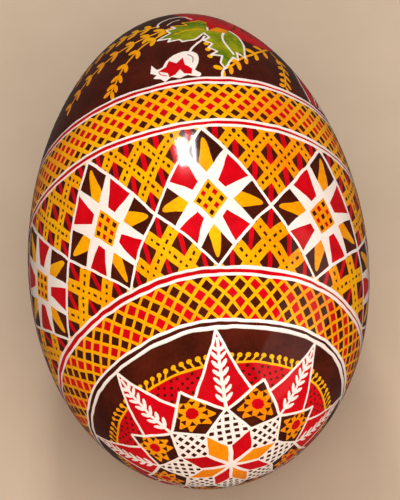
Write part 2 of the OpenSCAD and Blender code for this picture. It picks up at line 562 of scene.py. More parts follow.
@dataclass
class Sheet:
    """A flat drawing for one stretch of the egg. Later shapes cover earlier ones.

    Attributes:
        edge: outline of the whole stretch.
        ground: the dye it starts with.
        grid: straight cuts, so that the flat pieces can bend round the egg.
        shapes: the painted areas, the whole stretch first.
    """

    edge: list[Point]
    ground: Dye
    grid: list[tuple[Point, Point]] = field(default_factory=list)
    shapes: list[Shape] = field(init=False)

    def __post_init__(self) -> None:
        """Start with the ground."""
        self.shapes = [Shape(anticlockwise(self.edge), self.ground)]

    def paint(self, outline: Iterable[Point], dye: Dye, within: int = 0) -> int:
        """Paint an area and return its number, which another shape can stay within."""
        self.shapes.append(Shape(anticlockwise(list(outline)), dye, within))
        return len(self.shapes) - 1

    def line(self, points: Sequence[Point], width: float, dye: Dye, within: int = 0) -> None:
        """Draw a line with square ends, and a round joint where it turns.

        Args:
            points: where it runs.
            width: its width.
            dye: its dye.
            within: number of the shape that it stays inside.
        """
        for first, second in zip(points, points[1:]):
            dx, dy = second[0] - first[0], second[1] - first[1]
            size = hypot(dx, dy)
            if size < 1e-6:
                continue
            nx, ny = -dy / size * width / 2, dx / size * width / 2
            self.paint([(first[0] + nx, first[1] + ny), (first[0] - nx, first[1] - ny),
                        (second[0] - nx, second[1] - ny), (second[0] + nx, second[1] + ny)],
                       dye, within)
        for middle in points[1:-1]:
            self.dot(middle, width / 2, dye, within, 6)

    def dot(self, centre: Point, radius: float, dye: Dye, within: int = 0, sides: int = 8,
            stretch: float = 1.0, angle: float = 0.0) -> int:
        """Paint a round or oval spot.

        Args:
            centre: its middle.
            radius: its radius, or an oval's short half.
            dye: its dye.
            within: number of the shape that it stays inside.
            sides: how many sides it is drawn with.
            stretch: how many times longer an oval is than wide.
            angle: where an oval points, in degrees.

        Returns:
            Its number, which another shape can stay within.
        """
        ring = []
        for side in range(sides):
            x, y = polar(radius, 360 * (side + 0.5) / sides)
            tx, ty = turned((x * stretch, y), angle)
            ring.append((centre[0] + tx, centre[1] + ty))
        return self.paint(ring, dye, within)

    def cut(self) -> dict[Dye, tuple[np.ndarray, list[tuple[int, int, int]]]]:
        """Cut the drawing into flush triangles.

        Returns:
            For each dye, flat points and the triangles that it shows on.
        """
        points: list[Vector] = []
        faces: list[list[int]] = []
        for shape in self.shapes:
            faces.append(list(range(len(points), len(points) + len(shape.outline))))
            points.extend(Vector(p) for p in shape.outline)
        edges = []
        for first, second in self.grid:
            edges.append((len(points), len(points) + 1))
            points.extend((Vector(first), Vector(second)))
        out_points, _, out_faces, _, _, sources = delaunay_2d_cdt(
            points, edges, faces, INSIDE_ONLY, SAME_POINT, True)
        flat = np.array([tuple(p) for p in out_points])
        by_dye: dict[Dye, list[tuple[int, int, int]]] = {}
        for corners, source in zip(out_faces, sources):
            inside = set(source)
            if 0 not in inside:
                continue
            top = max(n for n in inside if self.shapes[n].within in inside)
            by_dye.setdefault(self.shapes[top].dye, []).append(tuple(corners))
        return {dye: (flat, tris) for dye, tris in by_dye.items()}


def box_grid(low: Point, high: Point, columns: int, rows: int) -> list[tuple[Point, Point]]:
    """Part a box into columns and rows.

    Args:
        low: its lower left corner.
        high: its upper right corner.
        columns: how many columns.
        rows: how many rows.

    Returns:
        The straight cuts between them.
    """
    cuts = []
    for n in range(1, columns):
        x = low[0] + (high[0] - low[0]) * n / columns
        cuts.append(((x, low[1]), (x, high[1])))
    for n in range(1, rows):
        y = low[1] + (high[1] - low[1]) * n / rows
        cuts.append(((low[0], y), (high[0], y)))
    return cuts


# ---- laying on the egg


@dataclass(frozen=True)
class HandWork:
    """How the drawing strays from the geometry when it is drawn by hand.

    Lengths are in millimetres. Spans are angles from the broad pole, in radians.

    Attributes:
        off_centre: turn of the whole drawing on the egg, as a rotation vector in radians.
        settled: span over which all of the straying dies away towards the blow hole.
        slip: how far the rings sit towards the broad end of where they were meant to be.
        slip_grows: span over which the slip sets in.
        slip_fades: span over which it dies away again.
        slip_left: the share of it that is left then.
        drift: reach of the slow wandering of the lines.
        drift_size: length of that wandering.
        tremble: reach of the fine shake of the stylus.
        tremble_size: length of the shake.
    """

    off_centre: Vector = Vector((-0.030, -0.0566, 0.059))
    settled: Span = (pi - 0.95, pi - 0.14)
    slip: float = 2.1
    slip_grows: Span = (0.25, 0.9)
    slip_fades: Span = (1.0, 2.5)
    slip_left: float = 0.1
    drift: float = 0.34
    drift_size: float = 22.0
    tremble: float = 0.15
    tremble_size: float = 3.4


class LayOnEgg:
    """The Geometry Nodes tree that repeats a flat piece round the egg and lays it on the skin.

    Attributes:
        INPUTS: the tree's inputs, as name and kind.
        ROUNDS: how many times a point near the skin is drawn in to it.
        FACE_LEAN: cosine of the lean past which a face is a wall and not skin.
    """

    INPUTS = (("Repeats", "NodeSocketInt"), ("Pitch", "NodeSocketFloat"),
              ("Crowding", "NodeSocketFloat"), ("Crowded About", "NodeSocketFloat"),
              ("Crowding Lean", "NodeSocketFloat"), ("Lean From", "NodeSocketFloat"),
              ("Unevenness", "NodeSocketFloat"), ("Pole Shift", "NodeSocketVector"),
              ("Shift Reach", "NodeSocketFloat"), ("Dyed Finish", "NodeSocketMaterial"))
    ROUNDS = 4
    FACE_LEAN = 0.7

    def __init__(self, form: EggForm, hand: HandWork, rest_height: float) -> None:
        """Build the tree.

        Args:
            form: the egg's surface.
            hand: how the drawing strays.
            rest_height: height of the egg's axis above the table, in millimetres.
        """
        self.form = form
        self.hand = hand
        self.rest_height = rest_height
        self.tree = bpy.data.node_groups.new("lay drawing on egg", "GeometryNodeTree")
        face = self.tree.interface
        face.new_socket("Geometry", in_out="INPUT", socket_type="NodeSocketGeometry")
        self.keys = {name: face.new_socket(name, in_out="INPUT", socket_type=kind).identifier
                     for name, kind in self.INPUTS}
        face.new_socket("Geometry", in_out="OUTPUT", socket_type="NodeSocketGeometry")
        self._build()

    def _build(self) -> None:
        """Add and link the nodes."""
        bench = NodeBench(self.tree)
        given = bench.add("NodeGroupInput")
        flat, repeats, pitch, crowding, about, lean, lean_from, uneven, shift, reach, finish = (
            given[:11])
        points = bench.add("GeometryNodePoints", None, {"Count": repeats})[0]
        number = bench.add("GeometryNodeInputIndex")[0]
        turn = bench.vector(0.0, 0.0, number * pitch)
        copies = bench.add("GeometryNodeInstanceOnPoints", None, {
            "Points": points, "Instance": flat, "Rotation": turn})[0]
        realized = bench.add("GeometryNodeRealizeInstances", None, {"Geometry": copies})[0]
        place = bench.add("GeometryNodeInputPosition")[0]
        x, y, _ = bench.parts(place)
        fade = self._fade(bench, (x * x + y * y).root() / reach, (0.0, 1.0), (1.0, 0.0))
        x, y, _ = bench.parts(bench.vector_sum(place, bench.stretched(shift, fade)))
        angle = (x * x + y * y).root()
        longitude = y.angle_to(x)
        crowding = crowding + lean * (angle - lean_from)
        off = longitude - about
        longitude = longitude + crowding * off.sine() + uneven * (off * 2.0).cosine()
        on_egg = self._on_egg(bench, angle, longitude)
        strayed = self._strayed(bench, on_egg, angle)
        for _ in range(self.ROUNDS):
            strayed = self._drawn_in(bench, strayed)
        lifted = bench.vector_sum(strayed, (0.0, 0.0, self.rest_height * MM))
        moved = bench.add("GeometryNodeSetPosition", None, {
            "Geometry": realized, "Position": lifted})[0]
        smooth = bench.add("GeometryNodeSetShadeSmooth", None, {"Geometry": moved})[0]
        whole = bench.add("GeometryNodeRealizeInstances", None, {"Geometry": smooth})[0]
        dressed = bench.add("GeometryNodeSetMaterial", None, {
            "Geometry": whole, "Material": finish})[0]
        bench.add("NodeGroupOutput", None, {"Geometry": dressed})

    @staticmethod
    def _fade(bench: NodeBench, value: Wire, span: Span, levels: Span,
              smooth: bool = False) -> Wire:
        """Lead from the first level to the second while the value runs over the span."""
        kind = {"interpolation_type": "SMOOTHSTEP"} if smooth else {"clamp": True}
        return bench.add("ShaderNodeMapRange", kind, {
            "Value": value, "From Min": span[0], "From Max": span[1],
            "To Min": levels[0], "To Max": levels[1]})[0]

    def _bulge(self, c: Wire) -> Wire:
        """How much fuller the egg is where the cosine of the angle is c."""
        return 1.0 + c * (self.form.fullness + self.form.pinch * c)

    def _on_egg(self, bench: NodeBench, angle: Wire, longitude: Wire) -> Wire:
        """Find a place on the skin.

        Args:
            bench: the tree's bench.
            angle: the place's angle from the broad pole.
            longitude: its longitude.

        Returns:
            The place from the egg's middle, in metres.
        """
        c = angle.cosine()
        radius = angle.sine() * self._bulge(c) * (self.form.girth * MM)
        return bench.vector(radius * longitude.cosine(), c * (-self.form.half_length * MM),
                            radius * longitude.sine())

    def _strayed(self, bench: NodeBench, place: Wire, angle: Wire) -> Wire:
        """Turn and shake the drawing, less and less towards the blow hole.

        Args:
            bench: the tree's bench.
            place: a place on the skin.
            angle: its angle from the broad pole.

        Returns:
            The place that it strays to, near the skin.
        """
        hand = self.hand
        steady = self._fade(bench, angle, hand.settled, (1.0, 0.0), smooth=True)
        skewed = bench.add("ShaderNodeVectorRotate", {"rotation_type": "AXIS_ANGLE"}, {
            "Vector": place, "Axis": hand.off_centre.normalized(),
            "Angle": steady * hand.off_centre.length})[0]
        girdle = self._fade(bench, angle, hand.slip_grows, (0.0, 1.0), smooth=True)
        less = self._fade(bench, angle, hand.slip_fades, (1.0, hand.slip_left))
        slipped = steady * girdle * less * (-hand.slip * MM)
        skewed = bench.vector_sum(skewed, bench.vector(0.0, slipped, 0.0))
        for size, reach in ((hand.drift_size, hand.drift), (hand.tremble_size, hand.tremble)):
            cloud = bench.add("ShaderNodeTexNoise", None, {
                "Vector": place, "Scale": 1000.0 / size, "Detail": 1.0})[1]
            about_zero = bench.vector_sum(cloud, (-0.5, -0.5, -0.5))
            shake = bench.stretched(about_zero, steady * (reach * 4 * MM))
            skewed = bench.vector_sum(skewed, shake)
        return skewed

    def _drawn_in(self, bench: NodeBench, place: Wire) -> Wire:
        """Bring a point that is near the skin closer to it.

        Args:
            bench: the tree's bench.
            place: the point from the egg's middle, in metres.

        Returns:
            The point closer to the skin.
        """
        x, y, z = bench.parts(place)
        c = y * (-1 / (self.form.half_length * MM))
        girth = self._bulge(c) * (self.form.girth * MM)
        fit = (x * x + z * z) / (girth * girth) + c * c
        return bench.stretched(place, fit.inverse_root())

    def bake(self, name: str, flat: bpy.types.Mesh, values: dict, depth: float) -> bpy.types.Object:
        """Run the tree on a flat mesh and keep the result as a closed plain mesh.

        Args:
            name: the finished piece's name.
            flat: the flat mesh, angle from the broad pole as the distance from its origin.
            values: the tree's inputs by name.
            depth: how deep the piece goes into the shell, in millimetres.

        Returns:
            The finished object, linked to the scene.
        """
        holder = linked(f"{name}.flat", flat)
        laid = holder.modifiers.new("lay", "NODES")
        laid.node_group = self.tree
        for key, value in values.items():
            laid[self.keys[key]] = value
        wall = holder.modifiers.new("depth", "SOLIDIFY")
        wall.thickness = depth * MM
        wall.offset = -1.0
        wall.use_even_offset = False
        graph = bpy.context.evaluated_depsgraph_get()
        mesh = bpy.data.meshes.new_from_object(holder.evaluated_get(graph), depsgraph=graph)
        mesh.name = name
        bpy.data.objects.remove(holder)
        bpy.data.meshes.remove(flat)
        self._true_shading(mesh)
        return linked(name, mesh)

    def _true_shading(self, mesh: bpy.types.Mesh) -> None:
        """Shade the outer faces by the egg's own surface, so that neighbours match.

        Args:
            mesh: the finished mesh, whose walls keep their own shading.
        """
        middle = np.array([0.0, 0.0, self.rest_height])
        corners = np.empty(len(mesh.vertices) * 3)
        mesh.vertices.foreach_get("co", corners)
        outward = self.form.normals(corners.reshape(-1, 3) / MM - middle)
        facing = np.empty(len(mesh.polygons) * 3)
        mesh.polygons.foreach_get("normal", facing)
        facing = facing.reshape(-1, 3)
        loops = np.empty(len(mesh.loops), dtype=int)
        mesh.loops.foreach_get("vertex_index", loops)
        totals = np.empty(len(mesh.polygons), dtype=int)
        mesh.polygons.foreach_get("loop_total", totals)
        of_face = np.repeat(np.arange(len(mesh.polygons)), totals)
        lean = (outward[loops] * facing[of_face]).sum(axis=1)
        out = np.where((np.abs(lean) > self.FACE_LEAN)[:, None],
                       outward[loops] * np.sign(lean)[:, None], facing[of_face])
        mesh.normals_split_custom_set(out.tolist())


# ---- zones of the drawing


@dataclass
class Zone:
    """One stretch of the drawing, from its flat sheet to finished pieces.

    Lengths are in millimetres, and angles on the egg in radians.

    Attributes:
        form: the egg's surface.
        name: what its pieces are called.
        repeats: how many times the sheet is laid round the egg.
        pitch: turn from one time to the next.
        crowding: how strongly the repeats gather about one longitude.
        crowded_about: that longitude.
        crowding_lean: how much the crowding grows with the angle from the broad pole.
        lean_from: the angle where that growth is nothing.
        unevenness: how far one quarter of the egg is ahead of the next.
        pole_shift: how far the drawing's middle lies off the pole.
        shift_reach: the angle from the pole where that shift has died away.
        depth: how deep the pieces go into the shell.
        mirrored: whether laying the sheet by angle and longitude turns it over.
    """

    form: EggForm
    name: str = "zone"
    repeats: int = 1
    pitch: float = tau
    crowding: float = 0.0
    crowded_about: float = 0.0
    crowding_lean: float = 0.0
    lean_from: float = 0.0
    unevenness: float = 0.0
    pole_shift: tuple[float, float, float] = (0.0, 0.0, 0.0)
    shift_reach: float = 1.0
    depth: float = 0.1
    mirrored: bool = True

    def sheet(self) -> Sheet:
        """Draw the zone on its flat sheet."""
        raise NotImplementedError

    def place(self, flat: np.ndarray) -> np.ndarray:
        """Angle and longitude of flat points, in radians."""
        raise NotImplementedError

    @staticmethod
    def about_pole(flat: np.ndarray) -> tuple[np.ndarray, np.ndarray]:
        """Distance and direction of flat points from the pole in a sheet's middle."""
        return np.hypot(flat[:, 0], flat[:, 1]), np.arctan2(flat[:, 1], flat[:, 0])

    def inputs(self, finish: bpy.types.Material) -> dict:
        """The laying tree's inputs by name, for a piece with that material."""
        return {"Repeats": self.repeats, "Pitch": self.pitch, "Crowding": self.crowding,
                "Crowded About": self.crowded_about, "Crowding Lean": self.crowding_lean,
                "Lean From": self.lean_from, "Unevenness": self.unevenness,
                "Pole Shift": self.pole_shift, "Shift Reach": self.shift_reach,
                "Dyed Finish": finish}

    def flat_mesh(self, name: str, flat: np.ndarray,
                  triangles: list[tuple[int, int, int]]) -> bpy.types.Mesh:
        """Make one dye's flat mesh, where the distance from the origin is the angle.

        Args:
            name: the mesh's name.
            flat: the sheet's points.
            triangles: the triangles that show this dye.

        Returns:
            The mesh, facing up.
        """
        where = self.place(flat)
        spread = np.stack([where[:, 0] * np.cos(where[:, 1]),
                           where[:, 0] * np.sin(where[:, 1])], axis=1)
        facing = []
        for a, b, c in triangles:
            (ax, ay), (bx, by), (cx, cy) = flat[a], flat[b], flat[c]
            area = (bx - ax) * (cy - ay) - (cx - ax) * (by - ay)
            if abs(area) >= LEAST_AREA:
                facing.append((a, b, c) if (area > 0) != self.mirrored else (a, c, b))
        used = sorted({corner for triangle in facing for corner in triangle})
        number = {old: new for new, old in enumerate(used)}
        faces = [tuple(number[corner] for corner in triangle) for triangle in facing]
        mesh = bpy.data.meshes.new(name)
        mesh.from_pydata([(*spread[corner], 0.0) for corner in used], [], faces)
        return mesh

    def pieces(self, layer: LayOnEgg, finishes: dict[Dye, bpy.types.Material]
               ) -> list[tuple[Dye, bpy.types.Object]]:
        """Cut the sheet and lay each dye on the egg.

        Args:
            layer: the tree that lays flat pieces on the egg.
            finishes: the material of each dye.

        Returns:
            Each dye with its finished piece.
        """
        made = []
        for dye, (flat, triangles) in self.sheet().cut().items():
            mesh = self.flat_mesh(f"{self.name} {dye.value} flat", flat, triangles)
            piece = layer.bake(f"{self.name}_{dye.value}", mesh, self.inputs(finishes[dye]),
                               self.depth)
            made.append((dye, piece))
        return made


@dataclass
class BandZone(Zone):
    """A stretch between two circles round the egg.

    Its sheet is degrees of longitude across, scaled to millimetres at the middle of the
    band, and arc from the pointed pole downwards.

    Attributes:
        low: arc where it starts.
        high: arc where it ends.
        centre: longitude of the sheet's middle, in degrees.
        degree: width of one degree of longitude on the sheet.
    """

    low: float = 0.0
    high: float = 1.0
    centre: float = 0.0
    degree: float = 0.49

    def place(self, flat: np.ndarray) -> np.ndarray:
        """Angle and longitude of flat points, in radians. Right on the sheet is less longitude."""
        angle = self.form.angle_from_pointed(flat[:, 1])
        return np.stack([angle, np.radians(self.centre - flat[:, 0] / self.degree)], axis=1)

    def blank(self, half: float, ground: Dye) -> Sheet:
        """A sheet that reaches half as far to either side, with its ground."""
        return Sheet([(-half, self.low), (half, self.low), (half, self.high), (-half, self.high)],
                     ground)


@dataclass
class Ring(BandZone):
    """Two white strokes round the egg whose gap opens and closes a little.

    Attributes:
        arc: where its middle runs.
        gap_dye: the dye between the strokes.
        wander: how much the gap opens and closes once round.
        seed: what sets its smaller waves apart from another ring's.
        half_width: half of its width over both strokes.
        half_gap: half of the gap, on average.
        least_gap: half of the gap where it is narrowest.
        shake: height of the smaller waves.
        widest: longitude where the gap is widest.
        steps: how many steps it is drawn with.
    """

    degree: float = 1.0
    centre: float = 180.0
    arc: float = 42.0
    gap_dye: Dye = Dye.RED
    wander: float = 0.12
    seed: float = 1.0
    half_width: float = 0.86
    half_gap: float = 0.25
    least_gap: float = 0.07
    shake: float = 0.03
    widest: float = radians(220.0)
    steps: int = 360

    def __post_init__(self) -> None:
        """Work out where the ring starts and ends."""
        self.low, self.high = self.arc - self.half_width, self.arc + self.half_width

    def edge(self, step: int, side: int) -> Point:
        """Find where the dye meets a stroke.

        Args:
            step: how many steps round.
            side: 0 for the upper stroke, 1 for the lower one.

        Returns:
            The point on the sheet.
        """
        turn = tau * step / self.steps
        phase = self.seed * (1.7 + side)
        wave = (sin(3 * turn + phase) + 0.8 * sin(7 * turn + 2 * phase)
                + 0.6 * sin(17 * turn + 3 * phase) + 0.6 * sin(31 * turn + phase)
                + 0.4 * sin(53 * turn + 2 * phase))
        half = max(self.least_gap,
                   self.half_gap + self.wander * cos(turn - self.widest) + self.shake * wave)
        return degrees(turn) - 180, self.arc + (half if side else -half)

    def sheet(self) -> Sheet:
        """Draw the ring cut open on the underside.

        Returns:
            The drawing.
        """
        sheet = self.blank(180.0, Dye.WHITE)
        for step in range(self.steps):
            sheet.paint([self.edge(step, 0), self.edge(step + 1, 0), self.edge(step + 1, 1),
                         self.edge(step, 1)], self.gap_dye)
        sheet.grid = [((x, self.low), (x, self.high))
                      for x in np.linspace(-180, 180, self.steps + 1)[1:-1]]
        return sheet


@dataclass
class UpperNet(BandZone):
    """Yellow netting over brown, with red cells in its middle rows.

    Attributes:
        columns: how many columns of cells go round the egg.
        drawn: how many of them are on the sheet.
        line: width of the yellow lines.
        row_step: distance from one row of cells to the next, half a cell's height.
        red_rows: the rows that are red.
        width: width of a column.
    """

    name: str = "upper_net"
    low: float = 42.86
    high: float = 51.09
    degree: float = 0.452
    columns: int = 68
    drawn: int = 1
    line: float = 0.68
    row_step: float = 1.37
    red_rows: tuple[int, ...] = (2, 3, 4)
    width: float = field(init=False)

    def __post_init__(self) -> None:
        """Work out the pitch and a column's width from the number of columns."""
        self.repeats = self.columns // self.drawn
        self.pitch = self.drawn * tau / self.columns
        self.width = 360 / self.columns * self.degree

    def cell(self, column: float, row: int) -> list[Point]:
        """Outline of the full rhombus about a cell's middle."""
        x, y = column * self.width, self.low + row * self.row_step
        return [(x - self.width / 2, y), (x, y - self.row_step), (x + self.width / 2, y),
                (x, y + self.row_step)]

    def sheet(self) -> Sheet:
        """Draw the columns.

        Returns:
            The drawing.
        """
        half = self.drawn * self.width / 2
        sheet = self.blank(half, Dye.BROWN)
        self.red_cells(sheet)
        self.lines(sheet)
        sheet.grid = box_grid((-half, self.low), (half, self.high), 2 * self.drawn, 8)
        return sheet

    def red_cells(self, sheet: Sheet) -> None:
        """Paint the cells of the red rows."""
        for row in self.red_rows:
            for column in ((-0.5, 0.5) if row % 2 else (-1, 0, 1)):
                sheet.paint(self.cell(column, row), Dye.RED)

    def lines(self, sheet: Sheet) -> None:
        """Draw the crossing yellow lines.

        Args:
            sheet: where to draw.
        """
        rise = self.row_step / (self.width / 2)
        reach = self.width * (self.drawn + 2) / 2
        rows = int((self.high - self.low) / self.row_step) + 3
        for step in range(-2 * self.drawn - 3, 2 * rows + 2 * self.drawn + 3, 2):
            y = self.low + step * self.row_step
            for sign in (1, -1):
                sheet.line([(-reach, y - sign * rise * reach), (reach, y + sign * rise * reach)],
                           self.line, Dye.YELLOW)


@dataclass
class LowerNet(UpperNet):
    """Yellow netting whose cells are red and brown by turns along one slant, so that two
    columns are drawn before the colours come round."""

    name: str = "lower_net"
    low: float = 80.91
    high: float = 88.14
    degree: float = 0.42
    columns: int = 58
    drawn: int = 2
    line: float = 0.55
    row_step: float = 1.46

    def red_cells(self, sheet: Sheet) -> None:
        """Paint every other slant of cells.

        Args:
            sheet: where to paint.
        """
        rows = int((self.high - self.low) / self.row_step) + 2
        for row in range(-1, rows):
            for column in range(-4, 5):
                across = column + (0.5 if row % 2 else 0.0)
                if round(across - row / 2) % 2 == 0:
                    sheet.paint(self.cell(across, row), Dye.RED)


@dataclass(frozen=True)
class Slant:
    """Oblique axes on a sheet: a corner, and a step along each of the two sides from it."""

    corner: Point
    first: Point
    second: Point

    def at(self, i: float, j: float) -> Point:
        """The place that many steps along each side."""
        return (self.corner[0] + i * self.first[0] + j * self.second[0],
                self.corner[1] + i * self.first[1] + j * self.second[1])

    def box(self, i: Span, j: Span) -> list[Point]:
        """Corners of a four-sided area that runs from i[0] to i[1] and from j[0] to j[1]."""
        return [self.at(i[0], j[0]), self.at(i[1], j[0]), self.at(i[1], j[1]), self.at(i[0], j[1])]


@dataclass
class StarBand(BandZone):
    """Nine diamonds with eight-pointed stars, and crossed ribbons in the triangles between.

    Places in a diamond run from 0 at its middle to 1 at its sides.

    Attributes:
        widest: arc of the diamonds' side corners.
        outline: width of the white lines round a diamond.
        overrun: how far these lines run past its corners, as a share of its side.
        upper_ribbons: how many windows fit along a side of an upper triangle.
        lower_ribbons: how many fit along a side of a lower one.
        window: a window's share of the step to the next.
        stripe: width of the red stripe in a window.
        stripe_over: how far its ends run past the window, which cuts them off.
        stripe_lean: how far they lean to the side.
        less_lean: the share of that lean in every other window.
        spot: half the size of the brown spots in the ribbons.
        dash: how many times longer every third spot is.
        reach: how far the star's brown and red fields go towards the diamond's sides.
        notch: where a brown field ends at the side.
        valley: where the yellow rays and the brown fields start.
        ray_share: where a ray is broadest, from its valley to the notch.
        ray_end: where a ray starts to close.
        ray_taper: how far it closes slowly before its tip.
        ray_tip: where it ends.
        ray_half: half of its width where it starts to close.
        red_half: half the width of a red field at the side.
        red_foot: where a red field starts, and half of its width there.
        heart: half the size of the yellow middle.
        check: distance between the checks in it.
        check_half: half the size of a check.
        spread: how far the diamonds' tops are spread, at spread_over above even_at.
        spread_over: that arc.
        even_at: arc where they are evenly spaced.
        side: half of a diamond's width.
    """

    name: str = "star_band"
    low: float = 52.81
    high: float = 79.19
    repeats: int = 9
    pitch: float = tau / 9
    centre: float = 81.2
    crowded_about: float = radians(84.0)
    unevenness: float = radians(3.0)
    degree: float = 0.4957
    widest: float = 68.0
    outline: float = 0.5
    overrun: float = 0.06
    upper_ribbons: float = 3.75
    lower_ribbons: float = 2.72
    window: float = 0.56
    stripe: float = 0.85
    stripe_over: float = 0.4
    stripe_lean: float = 0.22
    less_lean: float = 0.4
    spot: float = 0.24
    dash: float = 1.7
    reach: float = 0.97
    notch: float = 0.40
    valley: float = 0.37
    ray_share: float = 0.40
    ray_end: float = 0.80
    ray_taper: float = 0.05
    ray_tip: float = 0.865
    ray_half: float = 0.045
    red_half: float = 0.28
    red_foot: Point = (0.42, 0.10)
    heart: float = 0.285
    check: float = 0.185
    check_half: float = 0.05
    spread: float = radians(5.1)
    spread_over: float = 14.0
    even_at: float = 66.0
    side: float = field(init=False)

    def __post_init__(self) -> None:
        """Work out a diamond's width, and spread the tops and crowd the feet."""
        self.side = 180 / self.repeats * self.degree
        reach = self.form.angle_from_pointed(
            np.array([self.even_at - self.spread_over, self.even_at]))
        self.lean_from = float(reach[1])
        self.crowding_lean = self.spread / float(reach[0] - reach[1])

    def corners(self) -> tuple[Point, Point, Point, Point]:
        """Top, right, bottom and left corners of the diamond."""
        return (0.0, self.low), (self.side, self.widest), (0.0, self.high), (-self.side, self.widest)

    def inside(self, p: float, q: float) -> Point:
        """A place in the diamond, where (1, 1) is its top, (1, -1) right and (-1, -1) bottom."""
        shares = ((1 + p) * (1 + q) / 4, (1 + p) * (1 - q) / 4,
                  (1 - p) * (1 - q) / 4, (1 - p) * (1 + q) / 4)
        return tuple(sum(share * corner[k] for share, corner in zip(shares, self.corners()))
                     for k in (0, 1))

    def quarter(self, turns: int, *places: Point) -> list[Point]:
        """Find places in the diamond after some quarter turns.

        Args:
            turns: how many quarter turns.
            places: the places before them.

        Returns:
            The points on the sheet.
        """
        found = []
        for p, q in places:
            for _ in range(turns):
                p, q = q, -p
            found.append(self.inside(p, q))
        return found

    def sheet(self) -> Sheet:
        """Draw one diamond and the halves of the triangles at its sides.

        Returns:
            The drawing.
        """
        sheet = self.blank(self.side, Dye.YELLOW)
        for sign in (-1, 1):
            apex = (sign * self.side, self.widest)
            for base, ribbons in ((self.low, self.upper_ribbons), (self.high, self.lower_ribbons)):
                self.ribbons(sheet, apex, (0.0, base), (2 * sign * self.side, base), ribbons, sign)
        self.diamond(sheet)
        top, right, bottom, left = self.corners()
        for first, second in ((top, right), (right, bottom), (bottom, left), (left, top)):
            ends = between(first, second, -self.overrun), between(first, second, 1 + self.overrun)
            sheet.line(ends, self.outline, Dye.WHITE)
        sheet.grid = box_grid((-self.side, self.low), (self.side, self.high), 16, 24)
        return sheet

    def ribbons(self, sheet: Sheet, apex: Point, near: Point, far: Point, count: float,
                sign: int) -> None:
        """Draw brown windows with a red stripe between yellow ribbons with brown spots.

        Args:
            sheet: where to draw.
            apex: the triangle's corner at the diamonds' side corners.
            near: its corner at this diamond's top or bottom.
            far: its corner at the next diamond's.
            count: how many windows fit along a side.
            sign: 1 on the right of the diamond, -1 on the left.
        """
        triangle = sheet.paint([apex, near, far], Dye.YELLOW)
        slant = Slant(apex, ((near[0] - apex[0]) / count, (near[1] - apex[1]) / count),
                      ((far[0] - apex[0]) / count, (far[1] - apex[1]) / count))
        share = self.window
        tall = abs(slant.first[1]) * share + self.stripe_over
        for i in range(int(count) + 1):
            for j in range(int(count) + 1 - i):
                window = sheet.paint(slant.box((i, i + share), (j, j + share)), Dye.BROWN, triangle)
                x, y = slant.at(i + share / 2, j + share / 2)
                lean = self.stripe_lean * sign * (1 if (i + j) % 2 else self.less_lean)
                sheet.line([(x + lean, y - tall), (x - lean, y + tall)], self.stripe, Dye.RED,
                           window)
        half = self.spot / hypot(*slant.first)
        ribbon = (1 + share) / 2
        for i in range(-1, int(count) + 1):
            for k in range(4 * int(count) + 4):
                run = ribbon - 1 + k / 4
                dash = half * (self.dash if (i + k) % 3 == 0 else 1.0)
                for a, b, wide, high in ((i + ribbon, run, half, dash),
                                         (run, i + ribbon, dash, half)):
                    if min(a, b) > 0 and a + b < count + 0.1 and (k % 4 or a >= b):
                        sheet.paint(slant.box((a - wide, a + wide), (b - high, b + high)),
                                    Dye.BROWN, triangle)

    def diamond(self, sheet: Sheet) -> None:
        """Draw the star in its diamond.

        Args:
            sheet: where to draw.
        """
        whole = sheet.paint(self.corners(), Dye.WHITE)
        reach, notch, valley = self.reach, self.notch, self.valley
        near = valley + (reach - valley) * self.ray_share
        far = valley + (notch - valley) * self.ray_share
        end, half = self.ray_end, self.ray_half
        late = end + self.ray_taper
        foot, foot_half = self.red_foot
        for turns in range(4):
            sheet.paint(self.quarter(turns, (reach, reach), (reach, notch), (valley, valley),
                                     (notch, reach)), Dye.BROWN, whole)
            sheet.paint(self.quarter(turns, (valley, valley), (near, far), (end + half, end - half),
                                     (late + half / 2, late - half / 2),
                                     (self.ray_tip, self.ray_tip),
                                     (late - half / 2, late + half / 2),
                                     (end - half, end + half), (far, near)), Dye.YELLOW, whole)
            sheet.paint(self.quarter(turns, (reach, self.red_half), (reach, -self.red_half),
                                     (foot, -foot_half), (foot, foot_half)), Dye.RED, whole)
        middle = sheet.paint(self.square_about(0.0, 0.0, self.heart), Dye.YELLOW, whole)
        for i in range(-1, 2):
            for j in range(-1, 2):
                dye = Dye.BROWN if (i + j) % 2 == 0 else Dye.RED
                sheet.paint(self.square_about(i * self.check, j * self.check, self.check_half),
                            dye, middle)

    def square_about(self, p: float, q: float, half: float) -> list[Point]:
        """Corners of a small diamond of that half size about a place."""
        return [self.inside(p + half, q + half), self.inside(p + half, q - half),
                self.inside(p - half, q - half), self.inside(p - half, q + half)]


